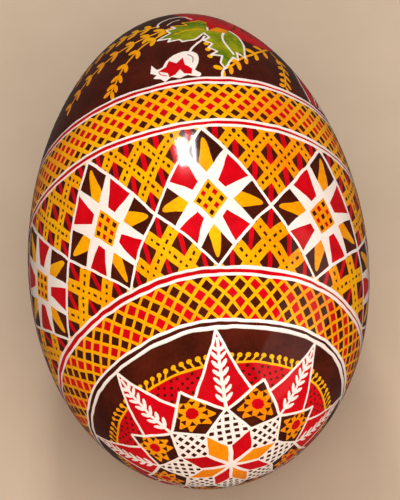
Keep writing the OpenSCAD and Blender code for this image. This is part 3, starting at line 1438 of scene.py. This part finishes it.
@dataclass
class Rosette(Zone):
    """The eight-petalled rosette on the broad end.

    Its sheet holds a quarter, seen from that end, with distances over the surface from the
    pole and a petal's axis at 0 degrees.

    Attributes:
        first_axis: longitude of the first petal, in degrees.
        half_step: degrees from a petal to the square beside it.
        rim: where the drawing ends.
        outline: width of the white lines.
        tip: where a petal ends.
        notch: where a petal starts.
        waist: a petal's widest place, along it and to its side.
        square_foot: where a square starts.
        square_tip: where it ends.
        lace_arc: where the red fields end in a yellow arc.
        lace_from: degrees from the petal to that arc's start.
        lace_line: its width.
        fringe_arc: where the dots of its fringe are.
        fringe_step: degrees between them.
        fringe_dot: their radius.
        fringe_line: width of their stems.
        fringe_lean: degrees by which the stems lean.
        speck_step: distance between the specks of a red field.
        speck: their radius.
        mesh_step: distance between the holes of a white net.
        mesh_half: half the size of a hole.
        ear_line: width of the stalk of a petal's ear of wheat.
        ear_step: distance between its grains.
        grain: half the width of a grain.
        grain_stretch: how many times longer a grain is than wide.
        grain_lean: degrees by which it leans.
        flower_petal_width: half the width of a petal of the small flower.
        flower_rim_width: half the width of the white shape behind it.
        eye: radius of the small flower's white eye.
        grid_step: degrees between the straight cuts.
    """

    name: str = "rosette"
    mirrored: bool = False
    repeats: int = 4
    pitch: float = tau / 4
    crowding: float = radians(9.55)
    crowded_about: float = radians(89.0)
    pole_shift: tuple[float, float, float] = (0.0, -0.018, 0.0)
    shift_reach: float = 0.88
    first_axis: float = 89.0
    half_step: float = 22.5
    rim: float = 25.88
    outline: float = 0.46
    tip: float = 25.95
    notch: float = 12.0
    waist: Point = (14.55, 4.31)
    square_foot: float = 8.3
    square_tip: float = 17.2
    lace_arc: float = 20.0
    lace_from: float = 5.6
    lace_line: float = 0.42
    fringe_arc: float = 21.35
    fringe_step: float = 3.75
    fringe_dot: float = 0.47
    fringe_line: float = 0.34
    fringe_lean: float = 1.7
    speck_step: float = 0.8
    speck: float = 0.33
    mesh_step: float = 1.2
    mesh_half: float = 0.34
    ear_line: float = 0.5
    ear_step: float = 1.5
    grain: float = 0.33
    grain_stretch: float = 3.0
    grain_lean: float = 36.0
    flower_petal_width: float = 1.52
    flower_rim_width: float = 1.80
    eye: float = 0.9
    grid_step: float = 3.75

    def place(self, flat: np.ndarray) -> np.ndarray:
        """Angle and longitude of flat points, in radians."""
        reach, turn = self.about_pole(flat)
        return np.stack([self.form.angle_from_broad(np.minimum(reach, self.rim)),
                         turn + radians(self.first_axis)], axis=1)

    def sheet(self) -> Sheet:
        """Draw a quarter: two petals, their squares, nets and small flower petals.

        Returns:
            The drawing.
        """
        low, high, steps = -self.half_step, 90 - self.half_step, 60
        rim = [polar(self.rim, low + (high - low) * n / steps) for n in range(steps + 1)]
        sheet = Sheet([(0.0, 0.0), *rim], Dye.BROWN)
        petals = (0.0, 45.0)
        squares = (-22.5, 22.5, 67.5)
        for axis in petals:
            for side in (-1, 1):
                self.lunette(sheet, axis, side)
        for axis in squares:
            self.square(sheet, axis)
        for axis in petals:
            self.net(sheet, axis)
            self.petal(sheet, axis)
        for axis in (-45.0, *petals, 90.0):
            self.outlines(sheet, axis)
        for number, axis in enumerate(squares):
            self.flower_petal(sheet, axis, Dye.ORANGE if number == 1 else Dye.RED)
        sheet.dot((0.0, 0.0), self.eye, Dye.WHITE, 0, 16)
        sheet.grid = self.grid(low, high)
        return sheet

    def grid(self, low: float, high: float) -> list[tuple[Point, Point]]:
        """Part the quarter by rays and arcs.

        Args:
            low: where the quarter starts, in degrees.
            high: where it ends.

        Returns:
            The straight cuts.
        """
        first = 1.6
        step = self.grid_step
        cuts = [(polar(first, angle), polar(self.rim - 0.01, angle))
                for angle in np.arange(low + step, high - 1, step)]
        for reach in np.arange(first, self.rim - 0.6, 1.5):
            ring = [polar(reach, low + step * n) for n in range(25)]
            cuts.extend(zip(ring, ring[1:]))
        return cuts

    def lunette(self, sheet: Sheet, axis: float, side: int) -> None:
        """Draw half of a spotted red field between petals, its arc and its fringe.

        Args:
            sheet: where to draw.
            axis: the axis of its petal, in degrees.
            side: 1 for the half that follows the petal, -1 for the one before it.
        """
        start, end = self.lace_from, self.half_step
        arc = [polar(self.lace_arc, axis + side * (start + (end - start) * n / 10))
               for n in range(11)]
        tuck_along, tuck_in = 1.0, 1.6
        below_waist = turned((self.waist[0] - tuck_along, side * (self.waist[1] - tuck_in)), axis)
        middle = polar(self.square_foot, axis + side * end)
        red = sheet.paint([*arc, middle, below_waist], Dye.RED)
        first_x, first_y, rim_clear = 13.2, 0.5, 0.4
        for i in range(10):
            for j in range(10):
                x, y = first_x + self.speck_step * i, first_y + self.speck_step * j
                if (i + j) % 2 == 0 and hypot(x, y) < self.lace_arc - rim_clear:
                    spot = polar(hypot(x, y), axis + side * degrees(atan2(y, x)))
                    sheet.dot(spot, self.speck, Dye.BROWN, red, 4)
        lead = 1.5
        sheet.line([polar(self.lace_arc, axis + side * (start - lead + (end - start + lead) * n / 12))
                    for n in range(13)], self.lace_line, Dye.YELLOW)
        for n in range(5):
            turn = axis + side * (self.lace_from + self.fringe_step * n)
            dot = polar(self.fringe_arc, turn)
            sheet.dot(dot, self.fringe_dot, Dye.YELLOW)
            sheet.line([polar(self.lace_arc, turn - side * self.fringe_lean), dot],
                       self.fringe_line, Dye.YELLOW)

    def square(self, sheet: Sheet, axis: float) -> None:
        """Draw the orange star with its red middle in a brown square.

        Args:
            sheet: where to draw.
            axis: the square's axis, in degrees.
        """
        half = (self.square_tip - self.square_foot) / 2
        centre = self.square_foot + half
        wide = self.notch * sin(radians(self.half_step))

        def at(reach: float, angle: float) -> Point:
            """A place about the square's middle, by its distance and direction."""
            x, y = polar(reach, angle)
            return turned((centre + x, y * wide / half), axis)

        valley, ray, cleft = 2.05, 3.6, 2.3
        nick_foot, nick_end, nick_half = 1.35, 2.25, 14
        heart = 1.02
        ground = sheet.paint([at(half, 90 * n) for n in range(4)], Dye.BROWN)
        star = []
        for n in range(4):
            star.extend((at(valley, 90 * n), at(ray, 90 * n + 30), at(cleft, 90 * n + 45),
                         at(ray, 90 * n + 60)))
        sheet.paint(star, Dye.ORANGE, ground)
        for n in range(8):
            turn = 45 * n + 22.5
            sheet.paint([at(nick_foot, turn), at(nick_end, turn - nick_half),
                         at(nick_end, turn + nick_half)], Dye.BROWN, ground)
        sheet.paint([at(heart, 45 * n) for n in range(8)], Dye.RED, ground)

    def net(self, sheet: Sheet, axis: float) -> None:
        """Draw white netting with brown holes between two squares and the small flower.

        Args:
            sheet: where to draw.
            axis: the axis of the petal outside it, in degrees.
        """
        foot = polar(self.square_foot, self.half_step)
        outline = [(self.notch, 0.0), foot, (0.0, 0.0), (foot[0], -foot[1])]
        area = sheet.paint([turned(p, axis) for p in outline], Dye.WHITE)
        half = self.mesh_half
        first, opens, opening, open_from = 5.3, 4.2, 0.9, 7.3
        for i in range(6):
            x = first + self.mesh_step * i
            for j in range(-3, 4):
                y = self.mesh_step * j
                if abs(y) < (x - opens) * opening or x > open_from:
                    hole = [(x - half, y - half), (x + half, y - half), (x + half, y + half),
                            (x - half, y + half)]
                    sheet.paint([turned(p, axis) for p in hole], Dye.BROWN, area)

    def petal(self, sheet: Sheet, axis: float) -> None:
        """Draw a red petal with a white ear of wheat in it.

        Args:
            sheet: where to draw.
            axis: the petal's axis, in degrees.
        """
        x, y = self.waist
        clear, grain_along, grain_aside = 1.2, 0.75, 0.66
        area = sheet.paint([turned(p, axis) for p in
                            ((self.tip, 0.0), (x, y), (self.notch, 0.0), (x, -y))], Dye.RED)
        sheet.line([turned((self.notch, 0.0), axis), turned((self.tip - clear, 0.0), axis)],
                   self.ear_line, Dye.WHITE, area)
        for n in range(7):
            foot = self.notch + clear + self.ear_step * n
            for side in (-1, 1):
                grain = turned((foot + grain_along, side * grain_aside), axis)
                sheet.dot(grain, self.grain, Dye.WHITE, area, 8, self.grain_stretch,
                          axis + side * self.grain_lean)

    def outlines(self, sheet: Sheet, axis: float) -> None:
        """Draw the white lines round a petal and its squares.

        Args:
            sheet: where to draw.
            axis: the petal's axis, in degrees.
        """
        corner = polar(self.square_tip, self.half_step)
        foot = polar(self.square_foot, self.half_step)
        for side in (-1, 1):
            runs = ([(self.tip, 0.0), (self.waist[0], side * self.waist[1])],
                    [(self.notch - 0.2, 0.0), (corner[0], side * corner[1])],
                    [(self.notch, 0.0), (foot[0], side * foot[1])])
            for run in runs:
                sheet.line([turned(p, axis) for p in run], self.outline, Dye.WHITE)

    def flower_petal(self, sheet: Sheet, axis: float, dye: Dye) -> None:
        """Draw one petal of the small flower, with a white line about it.

        Args:
            sheet: where to draw.
            axis: the petal's axis, in degrees.
            dye: its dye.
        """
        for foot, tip, wide, own in ((0.3, 8.4, self.flower_rim_width, Dye.WHITE),
                                     (0.9, 7.9, self.flower_petal_width, dye)):
            shape = ((foot, 0.0), (4.45, wide), (tip, 0.0), (4.45, -wide))
            sheet.paint([turned(p, axis) for p in shape], own)


@dataclass
class FlowerCap(Zone):
    """The dark pointed end with its free flowers.

    Its sheet is seen from that end, distances over the surface from the pole, and holds half
    of the cap. Places on it are given by longitude and arc.

    Attributes:
        hole: radius of the blow hole.
        rim: where the drawing ends.
        start: longitude where the half starts, in degrees.
        turned_by: how far the whole cap is turned, in degrees.
        fine: width of fine lines.
        thin: width of thin ones.
        thick: width of the leaves' and buds' rims.
    """

    name: str = "flower_cap"
    repeats: int = 2
    pitch: float = pi
    hole: float = 1.5
    rim: float = 41.14
    start: float = -12.0
    turned_by: float = -0.4
    fine: float = 0.25
    thin: float = 0.4
    thick: float = 0.5

    def place(self, flat: np.ndarray) -> np.ndarray:
        """Angle and longitude of flat points, in radians."""
        reach, turn = self.about_pole(flat)
        return np.stack([self.form.angle_from_pointed(reach), turn + radians(self.turned_by)],
                        axis=1)

    def girth_at(self, arc: float) -> float:
        """Radius of the egg that far from the pointed pole."""
        return float(self.form.radius(self.form.angle_from_pointed(np.array([arc])))[0])

    def local(self, longitude: float, arc: float, right: float, down: float) -> Point:
        """The point that far to the right of a place, and that far down from it."""
        there = arc + down
        return polar(there, longitude - degrees(right / self.girth_at(there)))

    def sheet(self) -> Sheet:
        """Draw one half of the cap.

        Returns:
            The drawing.
        """
        steps, hole_steps = 150, 24
        outer = [polar(self.rim, self.start + 180 * n / steps) for n in range(steps + 1)]
        inner = [polar(self.hole, self.start + 180 * n / hole_steps)
                 for n in range(hole_steps, -1, -1)]
        sheet = Sheet([*outer, *inner], Dye.BROWN)
        self.sprigs(sheet)
        self.big_flower(sheet)
        self.dark_petal(sheet)
        self.leaves(sheet)
        self.bud(sheet)
        self.side_bud(sheet)
        sheet.grid = self.grid()
        return sheet

    def grid(self) -> list[tuple[Point, Point]]:
        """Part the half by rays, fewer towards the pole, and by arcs.

        Returns:
            The straight cuts.
        """
        rays, wide, middling = 40, 14.0, 5.0
        cuts = []
        for n in range(1, rays):
            angle = self.start + 180 / rays * n
            low = wide if n % 2 else (middling if n % 4 else self.hole)
            cuts.append((polar(low + 0.01, angle), polar(self.rim - 0.01, angle)))
        for reach in np.arange(3.0, self.rim - 0.5, 1.35):
            count = rays if reach > wide else rays // 2
            ring = [polar(reach, self.start + 180 * n / count) for n in range(count + 1)]
            cuts.extend(zip(ring, ring[1:]))
        return cuts

    @staticmethod
    def area(sheet: Sheet, places: Sequence[Point], dye: Dye, within: int = 0) -> int:
        """Paint an area given by longitude and arc, and return its number."""
        return sheet.paint([polar(arc, longitude) for longitude, arc in places], dye, within)

    @staticmethod
    def stroke(sheet: Sheet, places: Sequence[Point], width: float, dye: Dye,
               steps: int = 5) -> None:
        """Draw a curved line through places, or a straight one where there is one step."""
        run = smooth_run(places, steps) if steps > 1 else list(places)
        sheet.line([polar(arc, longitude) for longitude, arc in run], width, dye)

    def sprigs(self, sheet: Sheet) -> None:
        """Draw the yellow sprigs, each a stem with round leaves in pairs.

        Args:
            sheet: where to draw.
        """
        sprigs = (
            (((88, 24.0), (101, 25.6), (117, 27.4), (130, 30.4), (140, 34.8)), 8, 1.2),
            (((91, 25.5), (102, 28.6), (110, 33.0), (113, 36.6), (115, 38.9)), 6, 1.15),
            (((42, 28.6), (51, 31.4), (61, 34.6), (67, 37.4), (72, 39.2)), 6, 1.2),
            (((41, 29.0), (40, 32.0), (42, 35.0), (44, 38.0), (46, 40.0)), 5, 1.0),
            (((96, 22.2), (112, 21.6), (128, 23.0), (142, 26.5)), 7, 1.2),
            (((100, 14.0), (122, 12.5), (148, 12.0), (164, 14.0)), 6, 1.1),
            (((18, 12.0), (0, 14.5), (-7, 19.0)), 4, 1.0),
        )
        for stem, pairs, size in sprigs:
            self.sprig(sheet, stem, pairs, size)
        for arc in (31.2, 33.2, 35.4):
            sheet.dot(polar(arc, 75.5), 0.62, Dye.YELLOW)

    def sprig(self, sheet: Sheet, stem: Sequence[Point], pairs: int, size: float) -> None:
        """Draw one sprig.

        Args:
            sheet: where to draw.
            stem: places on the stem by longitude and arc, from its foot to its tip.
            pairs: how many pairs of leaves.
            size: half the length of a leaf.
        """
        stem_foot, stem_tip = 0.9, 1.5
        splay, leaf_off, leaf_half, leaf_stretch = 42, 1.25, 0.5, 2.1
        flat = [polar(arc, longitude) for longitude, arc in smooth_run(stem, 6)]
        sheet.line(flat, self.thick, Dye.YELLOW)
        for n in range(pairs):
            at = (n + stem_foot) / pairs * (len(flat) - stem_tip)
            low = min(int(at), len(flat) - 2)
            foot = between(flat[low], flat[low + 1], at - low)
            heading = degrees(atan2(flat[low + 1][1] - flat[low][1],
                                    flat[low + 1][0] - flat[low][0]))
            for side in (-1, 1):
                turn = heading + side * splay
                dx, dy = polar(size * leaf_off, turn)
                sheet.dot((foot[0] + dx, foot[1] + dy), size * leaf_half, Dye.YELLOW, 0, 10,
                          leaf_stretch, turn)

    def big_flower(self, sheet: Sheet) -> None:
        """Draw the large red flower, its petals parted by fine dark lines.

        Args:
            sheet: where to draw.
        """
        longitude, arc, petals = 47.0, 18.5, 6
        valley, bulge = 9.4, 1.2

        def at(reach: float, turn: float) -> Point:
            """A place about the flower's middle, by its distance and direction."""
            return self.local(longitude, arc, *polar(reach, turn))

        red = sheet.paint([at(valley + bulge * abs(sin(radians(turn * petals / 2))), turn)
                           for turn in range(0, 360, 5)], Dye.RED)
        for petal in range(petals):
            turn = 360 / petals * petal
            sheet.line([at(reach, turn + 3 * sin(reach)) for reach in (2.4, 4.5, 6.6, 8.3)], 0.3,
                       Dye.BROWN, red)
            middle = turn + 180 / petals
            for offset, reach in ((-13, 5.6), (0, 6.4), (13, 5.6)):
                sheet.line([at(2.6, middle), at(reach, middle + offset)], 0.22, Dye.BROWN, red)
        sheet.paint([at(1.9, 30 * n) for n in range(12)], Dye.ORANGE)
        for n in range(8):
            sheet.dot(at(1.2, 45 * n), 0.25, Dye.BROWN, 0, 5)
        sheet.dot(at(0.0, 0.0), 0.4, Dye.BROWN, 0, 6)

    def dark_petal(self, sheet: Sheet) -> None:
        """Draw the pale outline of a dark petal behind the leaf."""
        self.stroke(sheet, ((97, 22.6), (97, 20.2), (91, 18.3), (83, 18.2), (78, 20.5)), self.thin,
                    Dye.WHITE)
        self.stroke(sheet, ((92, 22.4), (89, 20.8), (85, 20.2)), self.fine, Dye.WHITE)

    def leaves(self, sheet: Sheet) -> None:
        """Draw the two jagged leaves, their pale rims and veins.

        Args:
            sheet: where to draw.
        """
        left = ((71, 24.5), (70, 22.0), (74, 21.0), (79, 22.0), (84, 22.2), (81.5, 23.6),
                (90, 23.4), (87.5, 24.6), (92, 25.0), (90, 26.3), (96, 28.2), (90, 28.4),
                (91, 29.4), (86, 29.3), (85, 30.2), (80, 29.8), (76, 28.2), (72, 26.6))
        self.area(sheet, left, Dye.GREEN)
        self.stroke(sheet, left[6:] + left[:1], 0.38, Dye.WHITE, 1)
        self.stroke(sheet, left[1:7], 0.26, Dye.YELLOW, 1)
        self.stroke(sheet, ((73, 25.6), (80, 25.8), (88, 27.0)), 0.3, Dye.YELLOW)
        low = ((74.5, 27.4), (72.5, 29.0), (76, 30.0), (72.8, 31.2), (75.2, 32.6), (72.0, 33.8),
               (75.0, 35.0), (70.5, 35.2), (72.2, 37.2), (71.0, 38.9), (68.8, 37.0),
               (66.2, 35.4), (64.4, 36.0), (63.6, 33.6), (60.8, 35.0), (59.4, 32.4),
               (57.0, 29.5), (57.4, 27.0), (60.2, 25.2), (66.0, 24.2))
        leaf = self.area(sheet, low, Dye.GREEN)
        self.stroke(sheet, low[:16], 0.48, Dye.WHITE, 1)
        self.stroke(sheet, low[15:19], 0.48, Dye.WHITE)
        self.stroke(sheet, ((62.5, 25.2), (65.6, 27.6), (66.6, 30.6), (65.4, 34.6)), self.thick,
                    Dye.WHITE)
        self.area(sheet, ((73, 26.2), (66, 24.3), (61, 25.1), (63.5, 26.6), (67.0, 26.4)),
                  Dye.ORANGE, leaf)
        self.stroke(sheet, ((71.0, 38.4), (72.2, 39.9), (73.4, 41.2)), self.thick, Dye.WHITE)

    def bud(self, sheet: Sheet) -> None:
        """Draw the white bud that hangs from a stem down to the ring.

        Args:
            sheet: where to draw.
        """
        self.stroke(sheet, ((74.5, 28.6), (77.5, 30.2), (81.5, 32.4), (84.0, 34.2)), self.thick,
                    Dye.WHITE)
        bell = ((98.4, 35.6), (96.4, 37.1), (93.8, 36.8), (92.4, 35.2), (89.6, 34.0), (85.6, 33.2),
                (81.8, 33.7), (79.8, 35.2), (80.4, 37.3), (82.2, 39.1), (80.4, 40.1), (81.4, 41.0),
                (85.4, 40.3), (88.4, 40.9), (91.4, 40.2), (93.8, 41.1), (95.4, 40.1), (98.0, 39.4),
                (96.6, 38.7), (98.9, 37.8))
        white = self.area(sheet, smooth_run(bell, 2), Dye.WHITE)
        self.area(sheet, ((95.8, 37.8), (92.6, 37.0), (91.4, 35.3), (88.8, 36.4), (86.2, 35.1),
                          (85.6, 37.2), (83.2, 38.8), (83.8, 40.1), (86.6, 39.8), (87.8, 38.4),
                          (89.6, 39.7), (92.2, 40.2), (92.4, 38.9)), Dye.RED, white)
        self.stroke(sheet, ((84.2, 34.3), (82.2, 35.3), (82.4, 37.0)), 0.2, Dye.BROWN)
        self.stroke(sheet, ((93.0, 39.6), (95.0, 38.9), (95.6, 37.8)), self.fine, Dye.RED)

    def side_bud(self, sheet: Sheet) -> None:
        """Draw the larger bud at the far side, red with white rims.

        Args:
            sheet: where to draw.
        """
        shape = ((33, 40.6), (33, 36.8), (30, 32.5), (24, 28.6), (15, 27.4), (10, 31.0), (12, 35.5),
                 (17, 38.6), (22, 40.9))
        red = self.area(sheet, shape, Dye.RED)
        self.stroke(sheet, shape, self.thick, Dye.WHITE, 3)
        self.stroke(sheet, ((28, 39.8), (24, 35.6), (17, 31.0)), self.thin, Dye.WHITE)
        self.area(sheet, ((27, 40.2), (22, 37.5), (18, 36.0), (19, 39.2)), Dye.WHITE, red)


# ---- shell and membranes


@dataclass
class EggWall:
    """A closed wall that follows the egg's form at some depth, open only at the blow hole.

    Attributes:
        name: the piece's name.
        node: the node that it stands for.
        outer: depth of its outer face below the skin.
        inner: depth of its inner face.
        hole: radius of the hole through it.
        finish: its finish.
        dip: how far it stands off at the air cell.
        dip_radius: radius of the air cell.
        rows: how many rows of faces run from pole to pole on each face.
        columns: how many faces go round.
    """

    name: str
    node: str
    outer: float
    inner: float
    hole: float
    finish: MatteShell
    dip: float = 0.0
    dip_radius: float = 13.0
    rows: int = 120
    columns: int = 128

    def build(self, form: EggForm, rest_height: float) -> bpy.types.Object:
        """Make the wall and dress it.

        Args:
            form: the egg's outer surface.
            rest_height: height of the axis above the table, in millimetres.

        Returns:
            The finished piece, linked to the scene.
        """
        mesh = self._revolved(form, rest_height)
        mesh.shade_smooth()
        mesh.materials.append(self.finish.material())
        piece = linked(self.name, mesh)
        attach(piece, ROOT)
        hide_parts(self.node)
        return piece

    def _revolved(self, form: EggForm, rest_height: float) -> bpy.types.Mesh:
        """Turn the wall's section round the axis.

        Args:
            form: the egg's outer surface.
            rest_height: height of the axis above the table, in millimetres.

        Returns:
            The closed mesh.
        """
        outside = self._dipped(form.meridian(self.outer, self.hole, self.rows))
        inside = self._dipped(form.meridian(self.inner, self.hole, self.rows))
        section = outside + inside[::-1]
        points = [(0.0, outside[0][0], rest_height)]
        for y, r in section[1:-1]:
            for n in range(self.columns):
                turn = tau * n / self.columns
                points.append((r * cos(turn), y, rest_height + r * sin(turn)))
        points.append((0.0, inside[0][0], rest_height))
        faces: list[tuple[int, ...]] = []
        rings = len(section) - 2
        for n in range(self.columns):
            m = (n + 1) % self.columns
            faces.append((0, 1 + n, 1 + m))
            for ring in range(rings - 1):
                a, b = 1 + ring * self.columns, 1 + (ring + 1) * self.columns
                faces.append((a + n, b + n, b + m, a + m))
            last = 1 + (rings - 1) * self.columns
            faces.append((last + n, len(points) - 1, last + m))
        mesh = bpy.data.meshes.new(self.name)
        mesh.from_pydata([(x * MM, y * MM, z * MM) for x, y, z in points], [], faces)
        return mesh

    def _dipped(self, rows: list[Point]) -> list[Point]:
        """Draw the broad end in, as the lining stands off the shell at the air cell.

        Args:
            rows: (y, radius) points of one face.

        Returns:
            The points with the dip.
        """
        out = []
        for y, r in rows:
            near = y < 0 and r < self.dip_radius
            sink = self.dip * (0.5 + 0.5 * cos(pi * r / self.dip_radius)) if near else 0.0
            out.append((y + sink, r))
        return out


# ---- the whole egg


# the nodes that each dye's pieces take the place of
STANDS_FOR: dict[Dye, tuple[str, ...]] = {
    Dye.WHITE: ("stars", "outlines", "ring_lines"),
    Dye.YELLOW: ("star_centres", "upper_net_skin", "lower_net_skin"),
    Dye.ORANGE: ("rosette_flower",),
    Dye.GREEN: ("flower_cap_skin",),
    Dye.RED: ("diamond_fields", "rosette_petals", "ring_gaps"),
    Dye.BROWN: ("star_band_skin", "rosette_skin", "flower_cap_skin"),
}


@dataclass
class DecoratedEgg:
    """The shell, its membranes and every zone of the drawing. Lengths are in millimetres.

    Attributes:
        form: the egg's outer surface.
        rest_height: height of its axis above the table.
        hand: how the drawing strays.
        skin_depth: how deep the dyed pieces go.
        skin_over: the share of that depth where the bare shell starts, so that no gap shows.
        shell_wall: thickness of the bare shell below them.
        membrane_wall: thickness of a membrane.
        hole: radius of the blow hole.
        hole_ease: how much wider the hole through the membranes is.
        air_cell: how far the inner membrane stands off at the broad end.
    """

    form: EggForm
    rest_height: float
    hand: HandWork
    skin_depth: float = 0.1
    skin_over: float = 0.8
    shell_wall: float = 0.55
    membrane_wall: float = 0.1
    hole: float = 1.5
    hole_ease: float = 0.2
    air_cell: float = 2.4

    def build(self) -> list[bpy.types.Object]:
        """Build every piece.

        Returns:
            The pieces in the order that they are made.
        """
        return [*self.walls(), *self.drawing()]

    def walls(self) -> list[bpy.types.Object]:
        """Build the shell and the two membranes.

        Returns:
            The three pieces, from the outside in.
        """
        top = self.skin_depth * self.skin_over
        first = top + self.shell_wall
        second = first + self.membrane_wall
        last = second + self.membrane_wall
        lining_hole = self.hole + self.hole_ease
        walls = (
            EggWall("eggshell_wall", "eggshell", top, first, self.hole, BARE_SHELL),
            EggWall("membrane_outer", "outer_membrane", first, second, lining_hole, MEMBRANE),
            EggWall("membrane_inner", "inner_membrane", second, last, lining_hole, MEMBRANE,
                    dip=self.air_cell),
        )
        return [wall.build(self.form, self.rest_height) for wall in walls]

    def rings(self) -> list[Ring]:
        """The four rings between the zones."""
        made = (("ring_by_cap", 42.0, Dye.RED, 0.16, 1.3),
                ("ring_over_stars", 51.95, Dye.RED, 0.12, 2.9),
                ("ring_under_stars", 80.05, Dye.RED, 0.14, 4.1),
                ("ring_round_rosette", 89.0, Dye.BROWN, 0.11, 5.7))
        return [Ring(self.form, name=name, arc=arc, gap_dye=dye, wander=wander, seed=seed)
                for name, arc, dye, wander, seed in made]

    def drawing(self) -> list[bpy.types.Object]:
        """Build each zone's dyed pieces.

        Returns:
            The pieces, zone by zone.
        """
        layer = LayOnEgg(self.form, self.hand, self.rest_height)
        finishes = {dye: finish.material() for dye, finish in DYES.items()}
        zones = [FlowerCap(self.form), UpperNet(self.form), StarBand(self.form),
                 LowerNet(self.form), Rosette(self.form), *self.rings()]
        made = []
        for zone in zones:
            for dye, piece in zone.pieces(layer, finishes):
                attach(piece, ROOT)
                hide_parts(*STANDS_FOR[dye])
                made.append(piece)
        return made


# ---- studio


@dataclass(frozen=True)
class Softbox:
    """One soft light that faces the egg.

    Attributes:
        name: its name.
        towards: direction from the egg to it.
        reach: its distance, in metres.
        size: its width and height, in metres.
        power: its power, in watts.
        tint: its colour.
        glints: whether it shows in the varnish.
    """

    name: str
    towards: Vector
    reach: float
    size: tuple[float, float]
    power: float
    tint: Colour
    glints: bool = True

    def hang(self, target: Vector) -> None:
        """Hang it.

        Args:
            target: what it faces.
        """
        data = bpy.data.lights.new(self.name, "AREA")
        data.shape = "RECTANGLE"
        data.size, data.size_y = self.size
        data.energy = self.power
        data.color = self.tint
        lamp = linked(self.name, data)
        lamp.location = target + self.towards.normalized() * self.reach
        lamp.rotation_euler = self.towards.to_track_quat("Z", "Y").to_euler()
        lamp.visible_glossy = self.glints


WINDOW_TINT = (1.0, 0.98, 0.95)
ROOM_TINT = (1.0, 0.965, 0.93)
WARM_TINT = (1.0, 0.93, 0.86)
SOFTBOXES = (
    Softbox("wide pane", Vector((-0.086, 0.649, 0.761)), 1.0, (0.11, 0.18), 2.4, WINDOW_TINT),
    Softbox("narrow pane", Vector((0.014, 0.649, 0.761)), 1.0, (0.035, 0.18), 0.8, WINDOW_TINT),
    Softbox("front fill", Vector((0.03, -0.85, 0.75)), 1.6, (1.8, 1.4), 29.0, ROOM_TINT, False),
    Softbox("overhead fill", Vector((0.0, 0.0, 1.0)), 1.6, (1.8, 1.4), 13.5, ROOM_TINT, False),
    Softbox("side glow", Vector((1.0, -0.25, 0.22)), 1.6, (2.2, 1.2), 4.2, WARM_TINT),
)


@dataclass
class Studio:
    """Camera, table and lights.

    Attributes:
        target: the egg's middle.
        elevation: height of the camera over it, in degrees.
        azimuth: turn of the camera to the side, in degrees.
        distance: distance of the camera, in metres.
        lens: its focal length, in millimetres.
        aside: how far to the right of the egg's middle it aims, in millimetres.
        below: how far below it.
        table_half: half the size of the table, in metres.
        room_light: strength of the room's own light.
        room_tint: its colour.
    """

    target: Vector
    elevation: float = 55.6
    azimuth: float = -3.9
    distance: float = 0.85
    lens: float = 364.7
    aside: float = 0.57
    below: float = 0.98
    table_half: float = 3.0
    room_light: float = 0.06
    room_tint: Colour = (1.0, 0.93, 0.84)

    def towards_camera(self) -> Vector:
        """Direction from the egg to the camera."""
        up, side = radians(self.elevation), radians(self.azimuth)
        return Vector((cos(up) * sin(side), -cos(up) * cos(side), sin(up)))

    def camera(self) -> None:
        """Place the camera, which aims a little off the egg's middle."""
        out = self.towards_camera()
        right = Vector((0, 0, 1)).cross(out).normalized()
        up = out.cross(right)
        data = bpy.data.cameras.new("camera")
        data.lens = self.lens
        camera = linked("camera", data)
        aim = self.target + (right * self.aside - up * self.below) * MM
        camera.location = aim + out * self.distance
        camera.rotation_euler = out.to_track_quat("Z", "Y").to_euler()
        bpy.context.scene.camera = camera

    def table(self) -> None:
        """Lay the plain table, which the varnish doesn't mirror."""
        half = self.table_half
        mesh = bpy.data.meshes.new("table")
        mesh.from_pydata([(-half, -half, 0), (half, -half, 0), (half, half, 0), (-half, half, 0)],
                         [], [(0, 1, 2, 3)])
        mesh.materials.append(TABLE_CLOTH.material())
        table = linked("table", mesh)
        table.visible_glossy = False

    def room(self) -> None:
        """Give the room its own faint light."""
        world = bpy.data.worlds.new("room")
        bpy.context.scene.world = world
        world.use_nodes = True
        glow = world.node_tree.nodes["Background"]
        glow.inputs["Color"].default_value = (*self.room_tint, 1.0)
        glow.inputs["Strength"].default_value = self.room_light

    def build(self) -> None:
        """Set up the camera, the table, the lights and the room's own light."""
        self.camera()
        self.table()
        for box in SOFTBOXES:
            box.hang(self.target)
        bpy.context.scene.view_settings.view_transform = "Standard"
        self.room()


def main() -> None:
    """Build the egg and its studio, and report each piece."""
    low, high = (Vector(corner) for corner in CAD_BOX)
    half_width = (high.x - low.x) / 2 / MM
    half_length = (high.y - low.y) / 2 / MM
    form = EggForm(half_length, half_width)
    middle = (low + high) / 2
    Studio(middle).build()
    for piece in DecoratedEgg(form, middle.z / MM, HandWork()).build():
        log.info("%s: %d faces", piece.name, len(piece.data.polygons))


if __name__ == "__main__":
    logging.basicConfig(level=logging.INFO, format="%(message)s")
    main()
